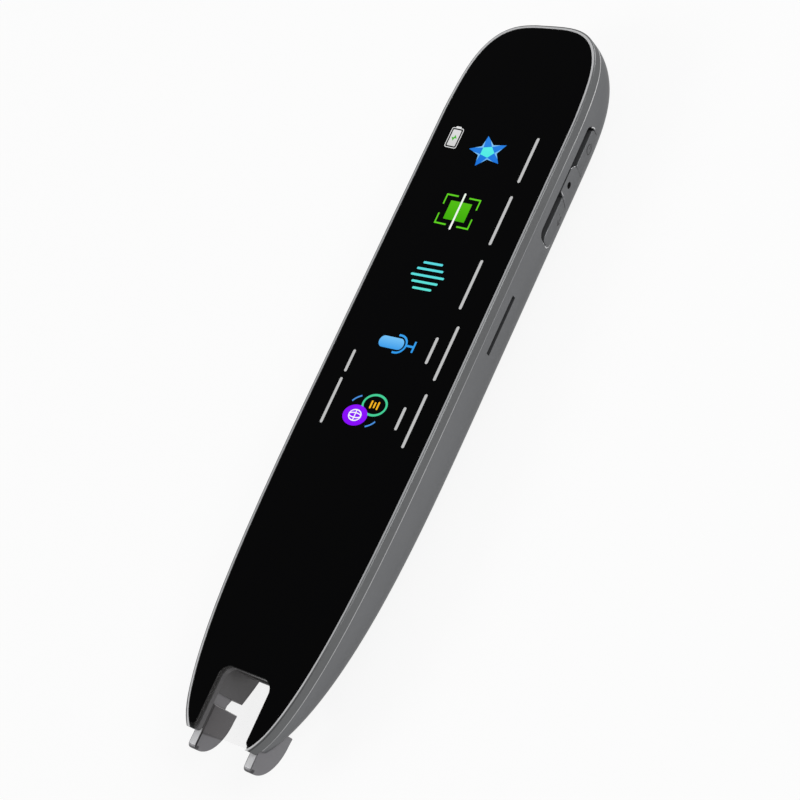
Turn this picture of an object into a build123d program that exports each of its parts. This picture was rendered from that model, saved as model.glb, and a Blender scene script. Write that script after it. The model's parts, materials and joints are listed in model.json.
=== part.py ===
from build123d import *
import math
import os

# Scanning translator pen: a long touch display on the front, keys on one side and a camera tip.
# It lies on its back. X runs across it, with the keys on +X. Y runs along it, towards the charging port.
# Z runs from the resting plane up to the cover glass. The origin is under the middle of the whole length.
# Most places are given as a distance along the pen, from the port end towards the tip, and as a depth below
# the front face. Lengths are in millimetres.

# Body shape
body_length = 143.6
body_width = 31.0
body_thickness = 13.0
foot_reach = 3.0
wall = 1.2
side_round = 5.2
crown_round = 8.1
crown_length = 30.0
crown_across_power = 3.28
crown_along_power = 4.28
taper_length = 77.8
taper_across_power = 3.28
taper_along_power = 3.24
nose_overrun = 2.5
nose_length = 34.1
nose_depth_power = 1.7
nose_reach_power = 2.1
outline_angles = (0, 10, 25, 40, 55, 70, 82, 90)
loft_angles = (0, 15, 30, 45, 60, 75, 90)

# Front frame, glass and display
frame_depth = 2.0
rim_width = 0.65
rim_chamfer = 0.15
glass_recess = 0.1
glass_thickness = 0.8
glass_gap = 0.05
glass_tape_thickness = 0.1
display_start = 17.0
display_tip_distance = 47.6
display_side_margin = 3.2
display_thickness = 1.6
display_corner = 0.5
display_gap = 0.2
display_flex_room = 2.5
display_flex_width = 14.0
display_flex_lap = 4.0
display_flex_rise = 0.4
flex_thickness = 0.12
flex_loop = 1.0
flex_bend = 0.25

# Scanning notch
notch_share = 0.38
notch_length = 12.1
notch_radius = 2.2
glass_notch_margin = 0.25
prong_tip_radius = 0.9
window_gap = 0.05
window_setback = 0.7
window_sag = 0.5

# Back plate and speaker panel
plate_margin = 0.9
plate_start = 33.0
plate_tip_distance = 26.5
plate_corner = 2.9
plate_taper_length = 19.0
plate_taper_power = 3.0
plate_thickness = 0.45
plate_tape_thickness = 0.1
plate_recess = 0.15
panel_width = 15.3
panel_start = 11.6
panel_corner = 4.6
panel_thickness = 0.7
panel_recess = 0.1
panel_reach = 5.0
trim_width = 0.6
trim_proud = 0.05
seam_gap = 0.05
bar_heights = (6.4, 5.3, 7.2, 9.5, 7.2, 5.3, 6.4)
bar_width = 0.95
bar_pitch = 1.77
bar_centre = 22.1
bar_slant = 0.7
bar_long_sides = (-1, 1, -1, 1, 1, -1, 1)
mesh_thickness = 0.15
sound_opening_margin = 1.0
board_hole_play = 0.15
shank_play = 0.1

# Speaker
speaker_side_margin = 0.35
speaker_length = 12.6
speaker_height = 4.0
speaker_rim = 1.0
speaker_gasket_thickness = 0.5
speaker_corner = 1.0
cone_thickness = 0.3
cone_drop = 0.6
coil_radius = 3.2
magnet_radius = 3.6
magnet_height = 1.6

# Circuit board
board_gap = 0.5
board_thickness = 0.8
board_side_margin = 4.6
board_start = 9.0
board_card_margin = 1.9
board_tongue_width = 11.0
board_tongue_start = 3.2
post_radius = 1.3
post_board_margin = 1.5
post_distances = (12.6, 46.3)
board_screw_head_radius = 1.1
board_screw_head_height = 0.4
board_screw_length = 3.2
screw_radius = 0.6
screw_play = 0.02
shield_width = 14.0
shield_length = 17.0
shield_height = 1.5
shield_start = 19.5
shield_skin = 0.2
chip_size = 9.0
chip_height = 0.9
connector_width = 5.0
connector_length = 3.0
connector_height = 1.5
connector_board_margin = 4.9
connector_distance = 42.5

# Charging port
port_width = 9.2
port_height = 3.4
port_shell_gap = 0.12
port_skin = 0.3
port_setback = 0.7
port_length = 7.3
port_back = 0.8
tongue_width = 6.7
tongue_height = 0.7
tongue_setback = 1.3
port_cut_length = 3.5

# Battery
battery_side_margin = 5.5
battery_lead_length = 7.0
battery_tip_distance = 42.6
battery_gap = 0.3
battery_corner = 1.2
battery_pad_margin = 3.0
battery_pad_thickness = 1.0
battery_flex_width = 3.0
battery_flex_drop = 2.2
battery_flex_run = 3.0

# Side keys
keys_start = 17.3
keys_end = 41.0
island_start = 27.0
island_end = 31.4
key_front_margin = 2.0
key_back_margin = 3.8
key_slant = 1.3
key_corner = 1.6
key_inner_corner = 0.3
key_recess = 0.1
key_stop_gap = 0.05
key_gap = 0.2
key_flange_lip = 0.5
key_flange_thickness = 0.6
key_flange_inset = 4.0
key_travel = 0.35
switch_length = 4.0
switch_height = 3.4
switch_thickness = 1.0
plunger_radius = 0.8
plunger_play = 0.1
plunger_length = 1.0
side_board_thickness = 0.8
side_board_overhang = 1.1
side_board_underhang = 1.5
side_board_foot_margin = 0.2
mic_island_distance = 2.15
mic_depth = 6.1
mic_hole_radius = 0.65
mic_size = 2.8
mic_height = 1.0
mic_boot_radius = 1.3
mic_boot_gap = 0.1

# Card socket
card_start = 52.9
card_length = 11.7
card_slot_height = 1.0
card_socket_inset = 2.1
card_socket_width = 12.9
card_socket_height = 1.7
card_socket_skin = 0.2
card_room = 0.35

# Case screws
case_screw_across = 5.0
case_screw_port_distance = 13.4
case_screw_tip_distance = 36.4
column_radius = 1.9
boss_depth = 6.0
case_screw_head_radius = 1.2
case_screw_head_height = 0.9
case_screw_grip = 1.8

# Scanning camera, measured back from the tip
cavity_tip_distance = 18.1
camera_board_tip_distance = 31.6
camera_board_thickness = 0.8
camera_board_width = 9.0
camera_housing_width = 8.4
camera_back_room = 4.8
camera_housing_length = 6.0
camera_housing_corner = 0.6
barrel_edge = 0.3
barrel_length = 5.0
barrel_wall = 0.5
lens_thickness = 1.0
lens_setback = 0.4
hood_thickness = 2.2
hood_depth = 8.2
hood_gap = 0.05
hood_bar = 0.45
hood_opening_height = 3.4
light_board_thickness = 1.0
light_board_overlap = 0.1
light_width = 1.3
light_height = 1.6
light_thickness = 0.7
light_side_margin = 1.25
light_gap = 0.05

# Liner of the scanning notch
liner_wall = 1.3
liner_tip_distance = 17.1
liner_corner = 2.2
liner_shelf_gap = 0.15
liner_skin = 0.35
slope_start_tip_distance = 15.9
slope_end_tip_distance = 13.6
slope_start_depth = 10.9
slope_end_depth = 8.6
liner_gap = 0.05

# Trigger: two feet on a sprung yoke
trigger_travel = 1.5
travel_spare = 0.5
foot_overhang = 0.05
foot_thickness = 1.9
foot_front_depth = 2.4
foot_back_depth = 9.0
foot_toe_depth = 3.9
foot_toe_rise = 0.6
foot_heel_drop = 1.3
foot_round = 0.25
shell_stop_tip_distance = 7.3
stem_notch_gap = 0.5
stem_width = 1.2
stem_front_depth = 2.3
stem_back_depth = 6.0
stem_joint_tip_distance = 14.6
channel_play = 0.15
channel_back_play = 0.2
skirt_play = 0.1
skirt_end_trim = 1.0
yoke_gap = 0.3
yoke_bar_height = 1.9
yoke_start_tip_distance = 22.6
yoke_length = 3.0
trigger_switch_length = 6.5
trigger_switch_width = 5.6
trigger_switch_height = 2.4
trigger_switch_start_tip_distance = 32.1
trigger_board_thickness = 0.8
trigger_board_width = 8.0
trigger_plunger_radius = 0.7
trigger_plunger_length = 4.8
trigger_rib_width = 7.0
trigger_play = 0.1
spring_radius = 0.75
spring_wire = 0.12
spring_pitch = 1.0
spring_depth = 4.2
spring_end_gap = 0.03
abutment_length = 1.4
abutment_width = 1.6
abutment_depth = 5.8
spring_length = 6.8
peg_radius = 0.45
peg_length = 2.4

# Antenna
antenna_start = 20.0
antenna_length = 18.0
antenna_top = 3.2
antenna_bottom = 6.8
antenna_inset = 2.05
antenna_thickness = 0.2

# Worked out from the sizes above
far = 2 * body_length
near = 0.1
crown_y = (body_length + foot_reach) / 2
half_width = body_width / 2
nose_end = body_length + nose_overrun
taper_start = nose_end - taper_length
nose_start = nose_end - nose_length
floor_depth = body_thickness - wall
ledge_depth = glass_recess + glass_thickness + glass_tape_thickness
notch_width = notch_share * body_width
notch_start = body_length - notch_length
glass_inset = rim_width + glass_gap
glass_notch_width = notch_width + 2 * glass_notch_margin
display_top = glass_recess + glass_thickness
display_bottom = display_top + display_thickness
display_end = body_length - display_tip_distance
display_width = body_width - 2 * display_side_margin
board_depth = display_bottom + board_gap
board_back = board_depth + board_thickness
board_half = half_width - board_side_margin
board_end = card_start + card_length + board_card_margin
post_across = board_half - post_board_margin
connector_across = connector_board_margin - board_half
port_depth = board_back + port_height / 2
card_slot_depth = board_back + card_socket_height / 2
card_socket_reach = half_width - card_socket_inset
key_depth_front = frame_depth + key_front_margin
key_depth_back = body_thickness - key_back_margin
key_flange_across = half_width - key_flange_inset
mic_distance = island_start + mic_island_distance
plate_width = panel_width + 2 * plate_margin
speaker_width = panel_width - 2 * speaker_side_margin
foot_inner = notch_width / 2 - foot_overhang
foot_outer = foot_inner + foot_thickness
stem_inner = notch_width / 2 + stem_notch_gap
stem_outer = stem_inner + stem_width
spring_across = stem_inner + stem_width / 2
channel_back_depth = stem_back_depth + channel_back_play
liner_width = notch_width + 2 * liner_wall
liner_shelf_depth = channel_back_depth + liner_shelf_gap
housing_bottom = floor_depth - camera_back_room
lens_depth = (frame_depth + housing_bottom) / 2
barrel_radius = lens_depth - frame_depth - barrel_edge
barrel_bore = barrel_radius - barrel_wall
yoke_bar_top = housing_bottom + yoke_gap
yoke_bar_bottom = yoke_bar_top + yoke_bar_height
cavity_end = body_length - cavity_tip_distance
plate_end = body_length - plate_tip_distance
plate_outer_depth = body_thickness - plate_recess
plate_inner_depth = plate_outer_depth - plate_thickness
plate_floor = plate_inner_depth - plate_tape_thickness
panel_outer_depth = body_thickness - panel_recess
panel_floor = panel_outer_depth - panel_thickness
shell_stop = body_length - shell_stop_tip_distance
foot_top = shell_stop + trigger_travel + travel_spare
foot_toe = body_length + foot_reach


def along(distance):
    """Y of a place given by its distance from the port end."""
    return crown_y - distance


def level(depth):
    """Z of a place given by its depth below the front face."""
    return body_thickness - depth


def superellipse_quarter(width, length, across_power, along_power):
    """Points from the wide end of a quarter superellipse to its tip, as (half width, run) pairs."""
    points = []
    for angle in outline_angles:
        cosine = max(0.0, math.cos(math.radians(angle)))
        sine = math.sin(math.radians(angle))
        points.append((width * cosine ** (2 / across_power), length * sine ** (2 / along_power)))
    return points


def body_outline(depth, inset=0.0):
    """Plan outline of the body at a depth below the front face, drawn inset from its skin."""
    back_run = body_thickness - inset - frame_depth
    fall = min(1.0, max(0.0, (depth - frame_depth) / back_run))
    sink = 1 - math.sqrt(1 - fall**2)
    half = half_width - inset - side_round * sink
    crown = inset + crown_round * sink
    nose_run = nose_end - inset - nose_start
    nose = nose_start + nose_run * (1 - fall**nose_depth_power) ** (1 / nose_reach_power)
    crown_quarter = superellipse_quarter(half, crown_length - crown, crown_across_power, crown_along_power)
    taper_quarter = superellipse_quarter(half, nose - taper_start, taper_across_power, taper_along_power)
    crown_points = [(x, along(crown_length - run)) for x, run in reversed(crown_quarter)]
    taper_points = [(x, along(taper_start + run)) for x, run in taper_quarter]
    with BuildSketch(Plane.XY.offset(level(depth))) as outline:
        with BuildLine():
            Spline(*crown_points, tangents=[(1, 0), (0, -1)])
            Line(crown_points[-1], taper_points[0])
            Spline(*taper_points, tangents=[(0, -1), (-1, 0)])
            mirror(about=Plane.YZ)
        make_face()
    return outline.sketch


def back_body(inset):
    """The back half of the body as one solid, drawn inset from its outer skin."""
    run = body_thickness - inset - frame_depth
    depths = [frame_depth + run * math.sin(math.radians(angle)) for angle in loft_angles]
    with BuildPart() as half:
        loft(sections=[body_outline(depth, inset) for depth in depths])
    return half.part


def block(left, right, start, end, top, bottom, mode=Mode.ADD):
    """Box between two sides, two distances along the pen and two depths."""
    with Locations(((left + right) / 2, along((start + end) / 2), level((top + bottom) / 2))):
        Box(right - left, end - start, bottom - top, mode=mode)


def middle_block(half, start, end, top, bottom, mode=Mode.ADD):
    """Box as far to the left as to the right, between two distances and two depths."""
    block(-half, half, start, end, top, bottom, mode)


def upright(across, distance, radius, top, bottom, mode=Mode.ADD):
    """Cylinder along Z between two depths."""
    with Locations((across, along(distance), level((top + bottom) / 2))):
        Cylinder(radius, bottom - top, mode=mode)


def lengthwise(across, depth, radius, start, end, mode=Mode.ADD):
    """Cylinder along Y between two distances."""
    with Locations(Location((across, along((start + end) / 2), level(depth)), (90, 0, 0))):
        Cylinder(radius, end - start, mode=mode)


def crosswise(distance, depth, radius, left, right, mode=Mode.ADD):
    """Cylinder along X between two sides."""
    with Locations(Location(((left + right) / 2, along(distance), level(depth)), (0, 90, 0))):
        Cylinder(radius, right - left, mode=mode)


def notch_outline(depth, width, start, radius):
    """Plan, at a depth, of a notch that is open at the tip and rounded at its inner end."""
    half = width / 2
    begin = along(start)
    end = along(body_length + far)
    with BuildSketch(Plane.XY.offset(level(depth))) as notch:
        with BuildLine():
            FilletPolyline((-half, end), (-half, begin), (half, begin), (half, end), radius=radius)
            Line((half, end), (-half, end))
        make_face()
    return notch.sketch


def plate_outline(depth, grow):
    """Plan of the back plate at a depth, grown by a margin all round."""
    half = plate_width / 2 + grow
    tip = plate_end + grow
    shoulder = plate_end - plate_taper_length
    top = along(plate_start - grow)
    radius = plate_corner + grow
    taper = superellipse_quarter(half, tip - shoulder, plate_taper_power, plate_taper_power)
    right = [(x, along(shoulder + run)) for x, run in taper]
    left = [(-x, y) for x, y in reversed(right[:-1])]
    with BuildSketch(Plane.XY.offset(level(depth))) as plate:
        with BuildLine():
            FilletPolyline(left[-1], (-half, top), (half, top), right[0], radius=radius)
            Spline(*(right + left), tangents=[(0, -1), (0, 1)])
        make_face()
    return plate.sketch


def panel_outline(depth, grow, plate_gap):
    """Plan of the speaker panel at a depth, grown all round. Its lower edge follows the back plate."""
    half = panel_width / 2 + grow
    top = along(panel_start - grow)
    bottom = along(plate_start + panel_reach)
    corners = [(-half, bottom), (-half, top), (half, top), (half, bottom)]
    with BuildSketch(Plane.XY.offset(level(depth))) as panel:
        with BuildLine():
            FilletPolyline(*corners, radius=panel_corner + grow)
            Line((half, bottom), (-half, bottom))
        make_face()
        add(plate_outline(body_thickness, plate_gap), mode=Mode.SUBTRACT)
    return panel.sketch


def key_outline(across, start, end, slant_at_end, gap):
    """Side view of a key or its pocket at one side of the pen, with a slanted end beside the island."""
    front = level(key_depth_front + gap)
    back = level(key_depth_back - gap)
    far_end = along(end - gap)
    near_end = along(start + gap)
    if slant_at_end:
        corners = [(near_end, front), (far_end, front), (far_end + key_slant, back), (near_end, back)]
    else:
        corners = [(near_end, front), (far_end, front), (far_end, back), (near_end - key_slant, back)]
    with BuildSketch(Plane.YZ.offset(across)) as outline:
        with BuildLine():
            Polyline(*corners, close=True)
        make_face()
        by_place = outline.vertices().sort_by(Axis.X)
        outer = by_place[2:] if slant_at_end else by_place[:2]
        fillet(outer, radius=key_corner)
        by_place = outline.vertices().sort_by(Axis.X)
        inner = by_place[:2] if slant_at_end else by_place[-2:]
        fillet(inner, radius=key_inner_corner)
    return outline.sketch


def stadium_bar(width, height, start, end, mode=Mode.ADD):
    """Bar of stadium section along Y, centred on the charging port."""
    with BuildSketch(Plane.XZ.offset(-along(start))) as section:
        with Locations((0, level(port_depth))):
            SlotOverall(width, height)
    extrude(section.sketch, amount=end - start, mode=mode)


def round_prongs(part, width, tip):
    """Round the upright edges at the inner side of the two prongs, beside a notch of a given width."""
    upright_edges = part.edges().filter_by(Axis.Z)
    tip_edges = upright_edges.filter_by(lambda edge: abs(edge.center().Y - along(tip)) < near)
    fillet(tip_edges.filter_by(lambda edge: abs(edge.center().X) < width / 2 + near), radius=prong_tip_radius)


def save(part, name):
    """Label a finished piece and write it to its own file."""
    part.part.label = name
    export_step(part.part, f"parts/{name}.step")


os.makedirs("parts", exist_ok=True)
outer_body = back_body(0.0)
key_spans = {"power": (keys_start, island_start, True), "function": (island_end, keys_end, False)}

# Front frame: a thin rim round the glass, a ledge under it and bosses for the case screws
display_half = display_width / 2 + display_gap
room_start = display_start - display_gap
room_end = display_end + display_flex_room
yoke_start = body_length - yoke_start_tip_distance
abutment_end = yoke_start - spring_length
screw_distances = (case_screw_port_distance, body_length - case_screw_tip_distance)
with BuildPart() as front_frame:
    add(body_outline(frame_depth))
    extrude(amount=frame_depth - rim_chamfer)
    loft(sections=[body_outline(rim_chamfer), body_outline(0, rim_chamfer)])
    add(body_outline(ledge_depth, rim_width))
    extrude(amount=ledge_depth, mode=Mode.SUBTRACT)
    middle_block(display_half, room_start, room_end, 0, frame_depth, Mode.SUBTRACT)
    add(notch_outline(frame_depth, notch_width, notch_start, notch_radius))
    extrude(amount=frame_depth, mode=Mode.SUBTRACT)
    middle_block(far, body_length, body_length + far, 0, body_thickness, Mode.SUBTRACT)
    round_prongs(front_frame, notch_width, body_length)
    for side in (-1, 1):
        for distance in screw_distances:
            upright(side * case_screw_across, distance, column_radius, ledge_depth, boss_depth)
            bore = screw_radius + screw_play
            upright(side * case_screw_across, distance, bore, frame_depth, boss_depth, Mode.SUBTRACT)
        left = side * spring_across - abutment_width / 2
        right = left + abutment_width
        block(left, right, abutment_end - abutment_length, abutment_end, ledge_depth, abutment_depth)
        lengthwise(side * spring_across, spring_depth, peg_radius, abutment_end, abutment_end + peg_length)
save(front_frame, "front_frame")

# Cover glass: a thin black plate let into the rim, notched at the tip
with BuildPart() as cover_glass:
    add(body_outline(glass_recess + glass_thickness, glass_inset))
    extrude(amount=glass_thickness)
    add(notch_outline(frame_depth, glass_notch_width, notch_start, notch_radius))
    extrude(amount=frame_depth, mode=Mode.SUBTRACT)
    glass_end = body_length - rim_width
    middle_block(far, glass_end, glass_end + far, 0, body_thickness, Mode.SUBTRACT)
    round_prongs(cover_glass, glass_notch_width, glass_end)
save(cover_glass, "cover_glass")

# Adhesive gasket between the glass and the frame's ledge
with BuildPart() as glass_tape:
    add(body_outline(ledge_depth, glass_inset))
    extrude(amount=glass_tape_thickness)
    middle_block(display_half, room_start, room_end, 0, frame_depth, Mode.SUBTRACT)
    add(notch_outline(frame_depth, glass_notch_width, notch_start, notch_radius))
    extrude(amount=frame_depth, mode=Mode.SUBTRACT)
    middle_block(far, glass_end - prong_tip_radius, glass_end + far, 0, body_thickness, Mode.SUBTRACT)
save(glass_tape, "glass_tape")

# Display module, bonded to the back of the glass
with BuildPart() as display_panel:
    middle_block(display_width / 2, display_start, display_end, display_top, display_bottom)
    fillet(display_panel.edges().filter_by(Axis.Z), radius=display_corner)
save(display_panel, "display_panel")

# Display ribbon: leaves the tip end of the module, folds back and lies on the circuit board
flex_start_depth = display_bottom - display_flex_rise
flex_run_depth = board_depth - flex_thickness / 2
with BuildPart() as display_flex:
    with BuildSketch(Plane.YZ):
        with BuildLine() as flex_path:
            FilletPolyline(
                (along(display_end), level(flex_start_depth)),
                (along(display_end + flex_loop), level(flex_start_depth)),
                (along(display_end + flex_loop), level(flex_run_depth)),
                (along(board_end - display_flex_lap), level(flex_run_depth)),
                radius=flex_bend,
            )
        trace(flex_path.line, flex_thickness)
    extrude(amount=display_flex_width / 2, both=True)
save(display_flex, "display_flex")

# Clear scan window: closes the notch between the two prongs, level with the glass
with BuildPart() as scan_window:
    window_width = glass_notch_width - 2 * window_gap
    with BuildSketch(Plane.XY.offset(level(display_top))):
        add(notch_outline(body_thickness, window_width, notch_start + window_gap, notch_radius))
        side_y = along(body_length - window_setback)
        left_side = (-half_width, side_y)
        right_side = (half_width, side_y)
        with BuildSketch(mode=Mode.INTERSECT):
            with BuildLine():
                ThreePointArc(left_side, (0, side_y - window_sag), right_side)
                Polyline(right_side, (half_width, crown_y), (-half_width, crown_y), left_side)
            make_face()
    extrude(amount=glass_thickness)
save(scan_window, "scan_window")

# Back shell: the hollow back half, with columns, posts, key pockets and the trigger's channels
hollow = back_body(wall)
opening_half = speaker_width / 2 - sound_opening_margin
opening_start = bar_centre - speaker_length / 2 + sound_opening_margin
opening_stop = bar_centre + speaker_length / 2 - sound_opening_margin
slot_top = card_slot_depth - card_slot_height / 2
slot_bottom = card_slot_depth + card_slot_height / 2
channel_start = cavity_end - wall
key_middle_depth = (key_depth_front + key_depth_back) / 2
channel_outer = stem_outer + channel_play
skirt_inner = foot_outer + skirt_play
liner_start = body_length - liner_tip_distance
trigger_middle_depth = (yoke_bar_top + yoke_bar_bottom) / 2
trigger_board_depth = trigger_middle_depth + trigger_switch_height / 2
trigger_switch_start = body_length - trigger_switch_start_tip_distance
trigger_switch_end = trigger_switch_start + trigger_switch_length
recess_floors = (panel_floor, plate_floor)
with BuildPart() as cavity:
    add(hollow)
    middle_block(far, cavity_end, cavity_end + far, 0, body_thickness, Mode.SUBTRACT)
with BuildPart() as back_shell:
    add(outer_body)
    add(cavity.part, mode=Mode.SUBTRACT)
    for side in (-1, 1):
        for distance in screw_distances:
            upright(side * case_screw_across, distance, column_radius, boss_depth, floor_depth)
        for distance in post_distances:
            place = side * post_across
            bore = screw_radius + screw_play
            upright(place, distance, post_radius, board_back, floor_depth)
            upright(place, distance, bore, board_back, board_back + board_screw_length, Mode.SUBTRACT)
    rib_top = trigger_board_depth + trigger_board_thickness
    middle_block(trigger_rib_width / 2, trigger_switch_start, trigger_switch_end, rib_top, floor_depth)
    add(plate_outline(body_thickness, seam_gap))
    extrude(amount=level(plate_floor), mode=Mode.SUBTRACT)
    add(panel_outline(body_thickness, trim_width + seam_gap, 0))
    extrude(amount=level(panel_floor), mode=Mode.SUBTRACT)
    for side in (-1, 1):
        for distance, recess_floor in zip(screw_distances, recess_floors):
            head_top = recess_floor - case_screw_head_height
            head_bore = case_screw_head_radius + shank_play
            place = side * case_screw_across
            upright(place, distance, screw_radius + shank_play, boss_depth, recess_floor, Mode.SUBTRACT)
            upright(place, distance, head_bore, head_top, recess_floor, Mode.SUBTRACT)
    middle_block(opening_half, opening_start, opening_stop, floor_depth, body_thickness, Mode.SUBTRACT)
    stadium_bar(port_width, port_height, -port_cut_length, port_cut_length, Mode.SUBTRACT)
    for start, end, slanted in key_spans.values():
        add(key_outline(key_flange_across, start, end, slanted, 0))
        extrude(amount=half_width, dir=(1, 0, 0), mode=Mode.SUBTRACT)
    crosswise(mic_distance, mic_depth, mic_hole_radius, key_flange_across, far, Mode.SUBTRACT)
    card_end = card_start + card_length
    block(key_flange_across, far, card_start, card_end, slot_top, slot_bottom, Mode.SUBTRACT)
    middle_block(channel_outer, channel_start, shell_stop, 0, channel_back_depth, Mode.SUBTRACT)
    add(notch_outline(body_thickness, liner_width + 2 * liner_gap, liner_start - liner_gap, liner_corner))
    extrude(amount=level(channel_back_depth), mode=Mode.SUBTRACT)
    middle_block(skirt_inner, shell_stop, shell_stop + far, 0, body_thickness, Mode.SUBTRACT)
    shell_end = body_length - skirt_end_trim
    middle_block(far, shell_end, shell_end + far, 0, body_thickness, Mode.SUBTRACT)
save(back_shell, "back_shell")

# Brushed back plate and its adhesive sheet
with BuildPart() as back_plate:
    add(plate_outline(plate_outer_depth, 0))
    extrude(amount=plate_thickness)
save(back_plate, "back_plate")
with BuildPart() as plate_tape:
    add(plate_outline(plate_inner_depth, 0))
    extrude(amount=plate_tape_thickness)
save(plate_tape, "plate_tape")

# Speaker panel with its sound slots, and the white line round it
with BuildPart() as speaker_panel:
    add(panel_outline(panel_outer_depth, 0, trim_width + seam_gap))
    extrude(amount=panel_thickness)
    for index, (height, long_side) in enumerate(zip(bar_heights, bar_long_sides)):
        middle = (index - (len(bar_heights) - 1) / 2) * bar_pitch
        long_x = middle + long_side * bar_width / 2
        short_x = middle - long_side * bar_width / 2
        long_half = height / 2
        short_half = height / 2 - bar_slant
        with BuildSketch():
            with BuildLine():
                Polyline(
                    (long_x, along(bar_centre - long_half)),
                    (short_x, along(bar_centre - short_half)),
                    (short_x, along(bar_centre + short_half)),
                    (long_x, along(bar_centre + long_half)),
                    close=True,
                )
            make_face()
        extrude(amount=body_thickness, mode=Mode.SUBTRACT)
save(speaker_panel, "speaker_panel")
with BuildPart() as panel_trim:
    add(panel_outline(panel_outer_depth + trim_proud, trim_width, seam_gap))
    extrude(amount=panel_thickness + trim_proud)
    add(panel_outline(body_thickness, 0, trim_width + seam_gap))
    extrude(amount=body_thickness, mode=Mode.SUBTRACT)
save(panel_trim, "panel_trim")
with BuildPart() as speaker_mesh:
    mesh_start = opening_start + seam_gap
    mesh_end = opening_stop - seam_gap
    middle_block(opening_half - seam_gap, mesh_start, mesh_end, panel_floor - mesh_thickness, panel_floor)
save(speaker_mesh, "speaker_mesh")

# Speaker: foam gasket against the shell's floor, frame, cone and magnet
speaker_half = speaker_width / 2
speaker_start = bar_centre - speaker_length / 2
speaker_end = bar_centre + speaker_length / 2
speaker_back = floor_depth - speaker_gasket_thickness
speaker_front = speaker_back - speaker_height
pocket_half = speaker_half - speaker_rim
pocket_start = speaker_start + speaker_rim
pocket_end = speaker_end - speaker_rim
pocket_top = speaker_front + speaker_rim
with BuildPart() as speaker_gasket:
    middle_block(speaker_half, speaker_start, speaker_end, speaker_back, floor_depth)
    middle_block(opening_half, opening_start, opening_stop, speaker_back, floor_depth, Mode.SUBTRACT)
save(speaker_gasket, "speaker_gasket")
with BuildPart() as speaker_frame:
    middle_block(speaker_half, speaker_start, speaker_end, speaker_front, speaker_back)
    fillet(speaker_frame.edges().filter_by(Axis.Z), radius=speaker_corner)
    middle_block(pocket_half, pocket_start, pocket_end, pocket_top, speaker_back, Mode.SUBTRACT)
save(speaker_frame, "speaker_frame")
with BuildPart() as speaker_magnet:
    upright(0, bar_centre, magnet_radius, pocket_top, pocket_top + magnet_height)
save(speaker_magnet, "speaker_magnet")
with BuildPart() as speaker_cone:
    cone_bottom = speaker_back - cone_drop
    middle_block(pocket_half, pocket_start, pocket_end, cone_bottom - cone_thickness, cone_bottom)
    upright(0, bar_centre, coil_radius, pocket_top + magnet_height, cone_bottom)
save(speaker_cone, "speaker_cone")

# Main board, screwed to the posts, with the chip under its shield and the battery's connector
with BuildPart() as main_board:
    middle_block(board_half, board_start, board_end, board_depth, board_back)
    middle_block(board_tongue_width / 2, board_tongue_start, board_start, board_depth, board_back)
    for side in (-1, 1):
        place = side * case_screw_across
        hole = column_radius + board_hole_play
        upright(place, case_screw_port_distance, hole, board_depth, board_back, Mode.SUBTRACT)
        for distance in post_distances:
            hole = screw_radius + shank_play
            upright(side * post_across, distance, hole, board_depth, board_back, Mode.SUBTRACT)
save(main_board, "main_board")
with BuildPart() as board_screws:
    head_top = board_depth - board_screw_head_height
    screw_end = board_back + board_screw_length - shank_play
    for side in (-1, 1):
        for distance in post_distances:
            place = side * post_across
            upright(place, distance, board_screw_head_radius, head_top, board_depth)
            upright(place, distance, screw_radius, board_depth, screw_end)
save(board_screws, "board_screws")
with BuildPart() as shield_can:
    shield_half = shield_width / 2
    shield_end = shield_start + shield_length
    can_start = shield_start + shield_skin
    can_end = shield_end - shield_skin
    can_roof = board_back + shield_height - shield_skin
    middle_block(shield_half, shield_start, shield_end, board_back, board_back + shield_height)
    middle_block(shield_half - shield_skin, can_start, can_end, board_back, can_roof, Mode.SUBTRACT)
save(shield_can, "shield_can")
with BuildPart() as processor_chip:
    chip_middle = shield_start + shield_length / 2
    half = chip_size / 2
    middle_block(half, chip_middle - half, chip_middle + half, board_back, board_back + chip_height)
save(processor_chip, "processor_chip")
connector_end = connector_distance + connector_length / 2
with BuildPart() as battery_connector:
    left = connector_across - connector_width / 2
    right = connector_across + connector_width / 2
    connector_front = connector_distance - connector_length / 2
    block(left, right, connector_front, connector_end, board_back, board_back + connector_height)
save(battery_connector, "battery_connector")

# Charging port: a metal shell of stadium section with its tongue
port_end = port_setback + port_length
with BuildPart() as port_shell:
    outer_width = port_width - 2 * port_shell_gap
    outer_height = port_height - 2 * port_shell_gap
    stadium_bar(outer_width, outer_height, port_setback, port_end)
    inner_width = outer_width - 2 * port_skin
    inner_height = outer_height - 2 * port_skin
    stadium_bar(inner_width, inner_height, port_setback, port_end - port_back, Mode.SUBTRACT)
save(port_shell, "port_shell")
with BuildPart() as port_tongue:
    tongue_top = port_depth - tongue_height / 2
    tongue_bottom = port_depth + tongue_height / 2
    tongue_start = port_setback + tongue_setback
    middle_block(tongue_width / 2, tongue_start, port_end - port_back, tongue_top, tongue_bottom)
save(port_tongue, "port_tongue")

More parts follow.
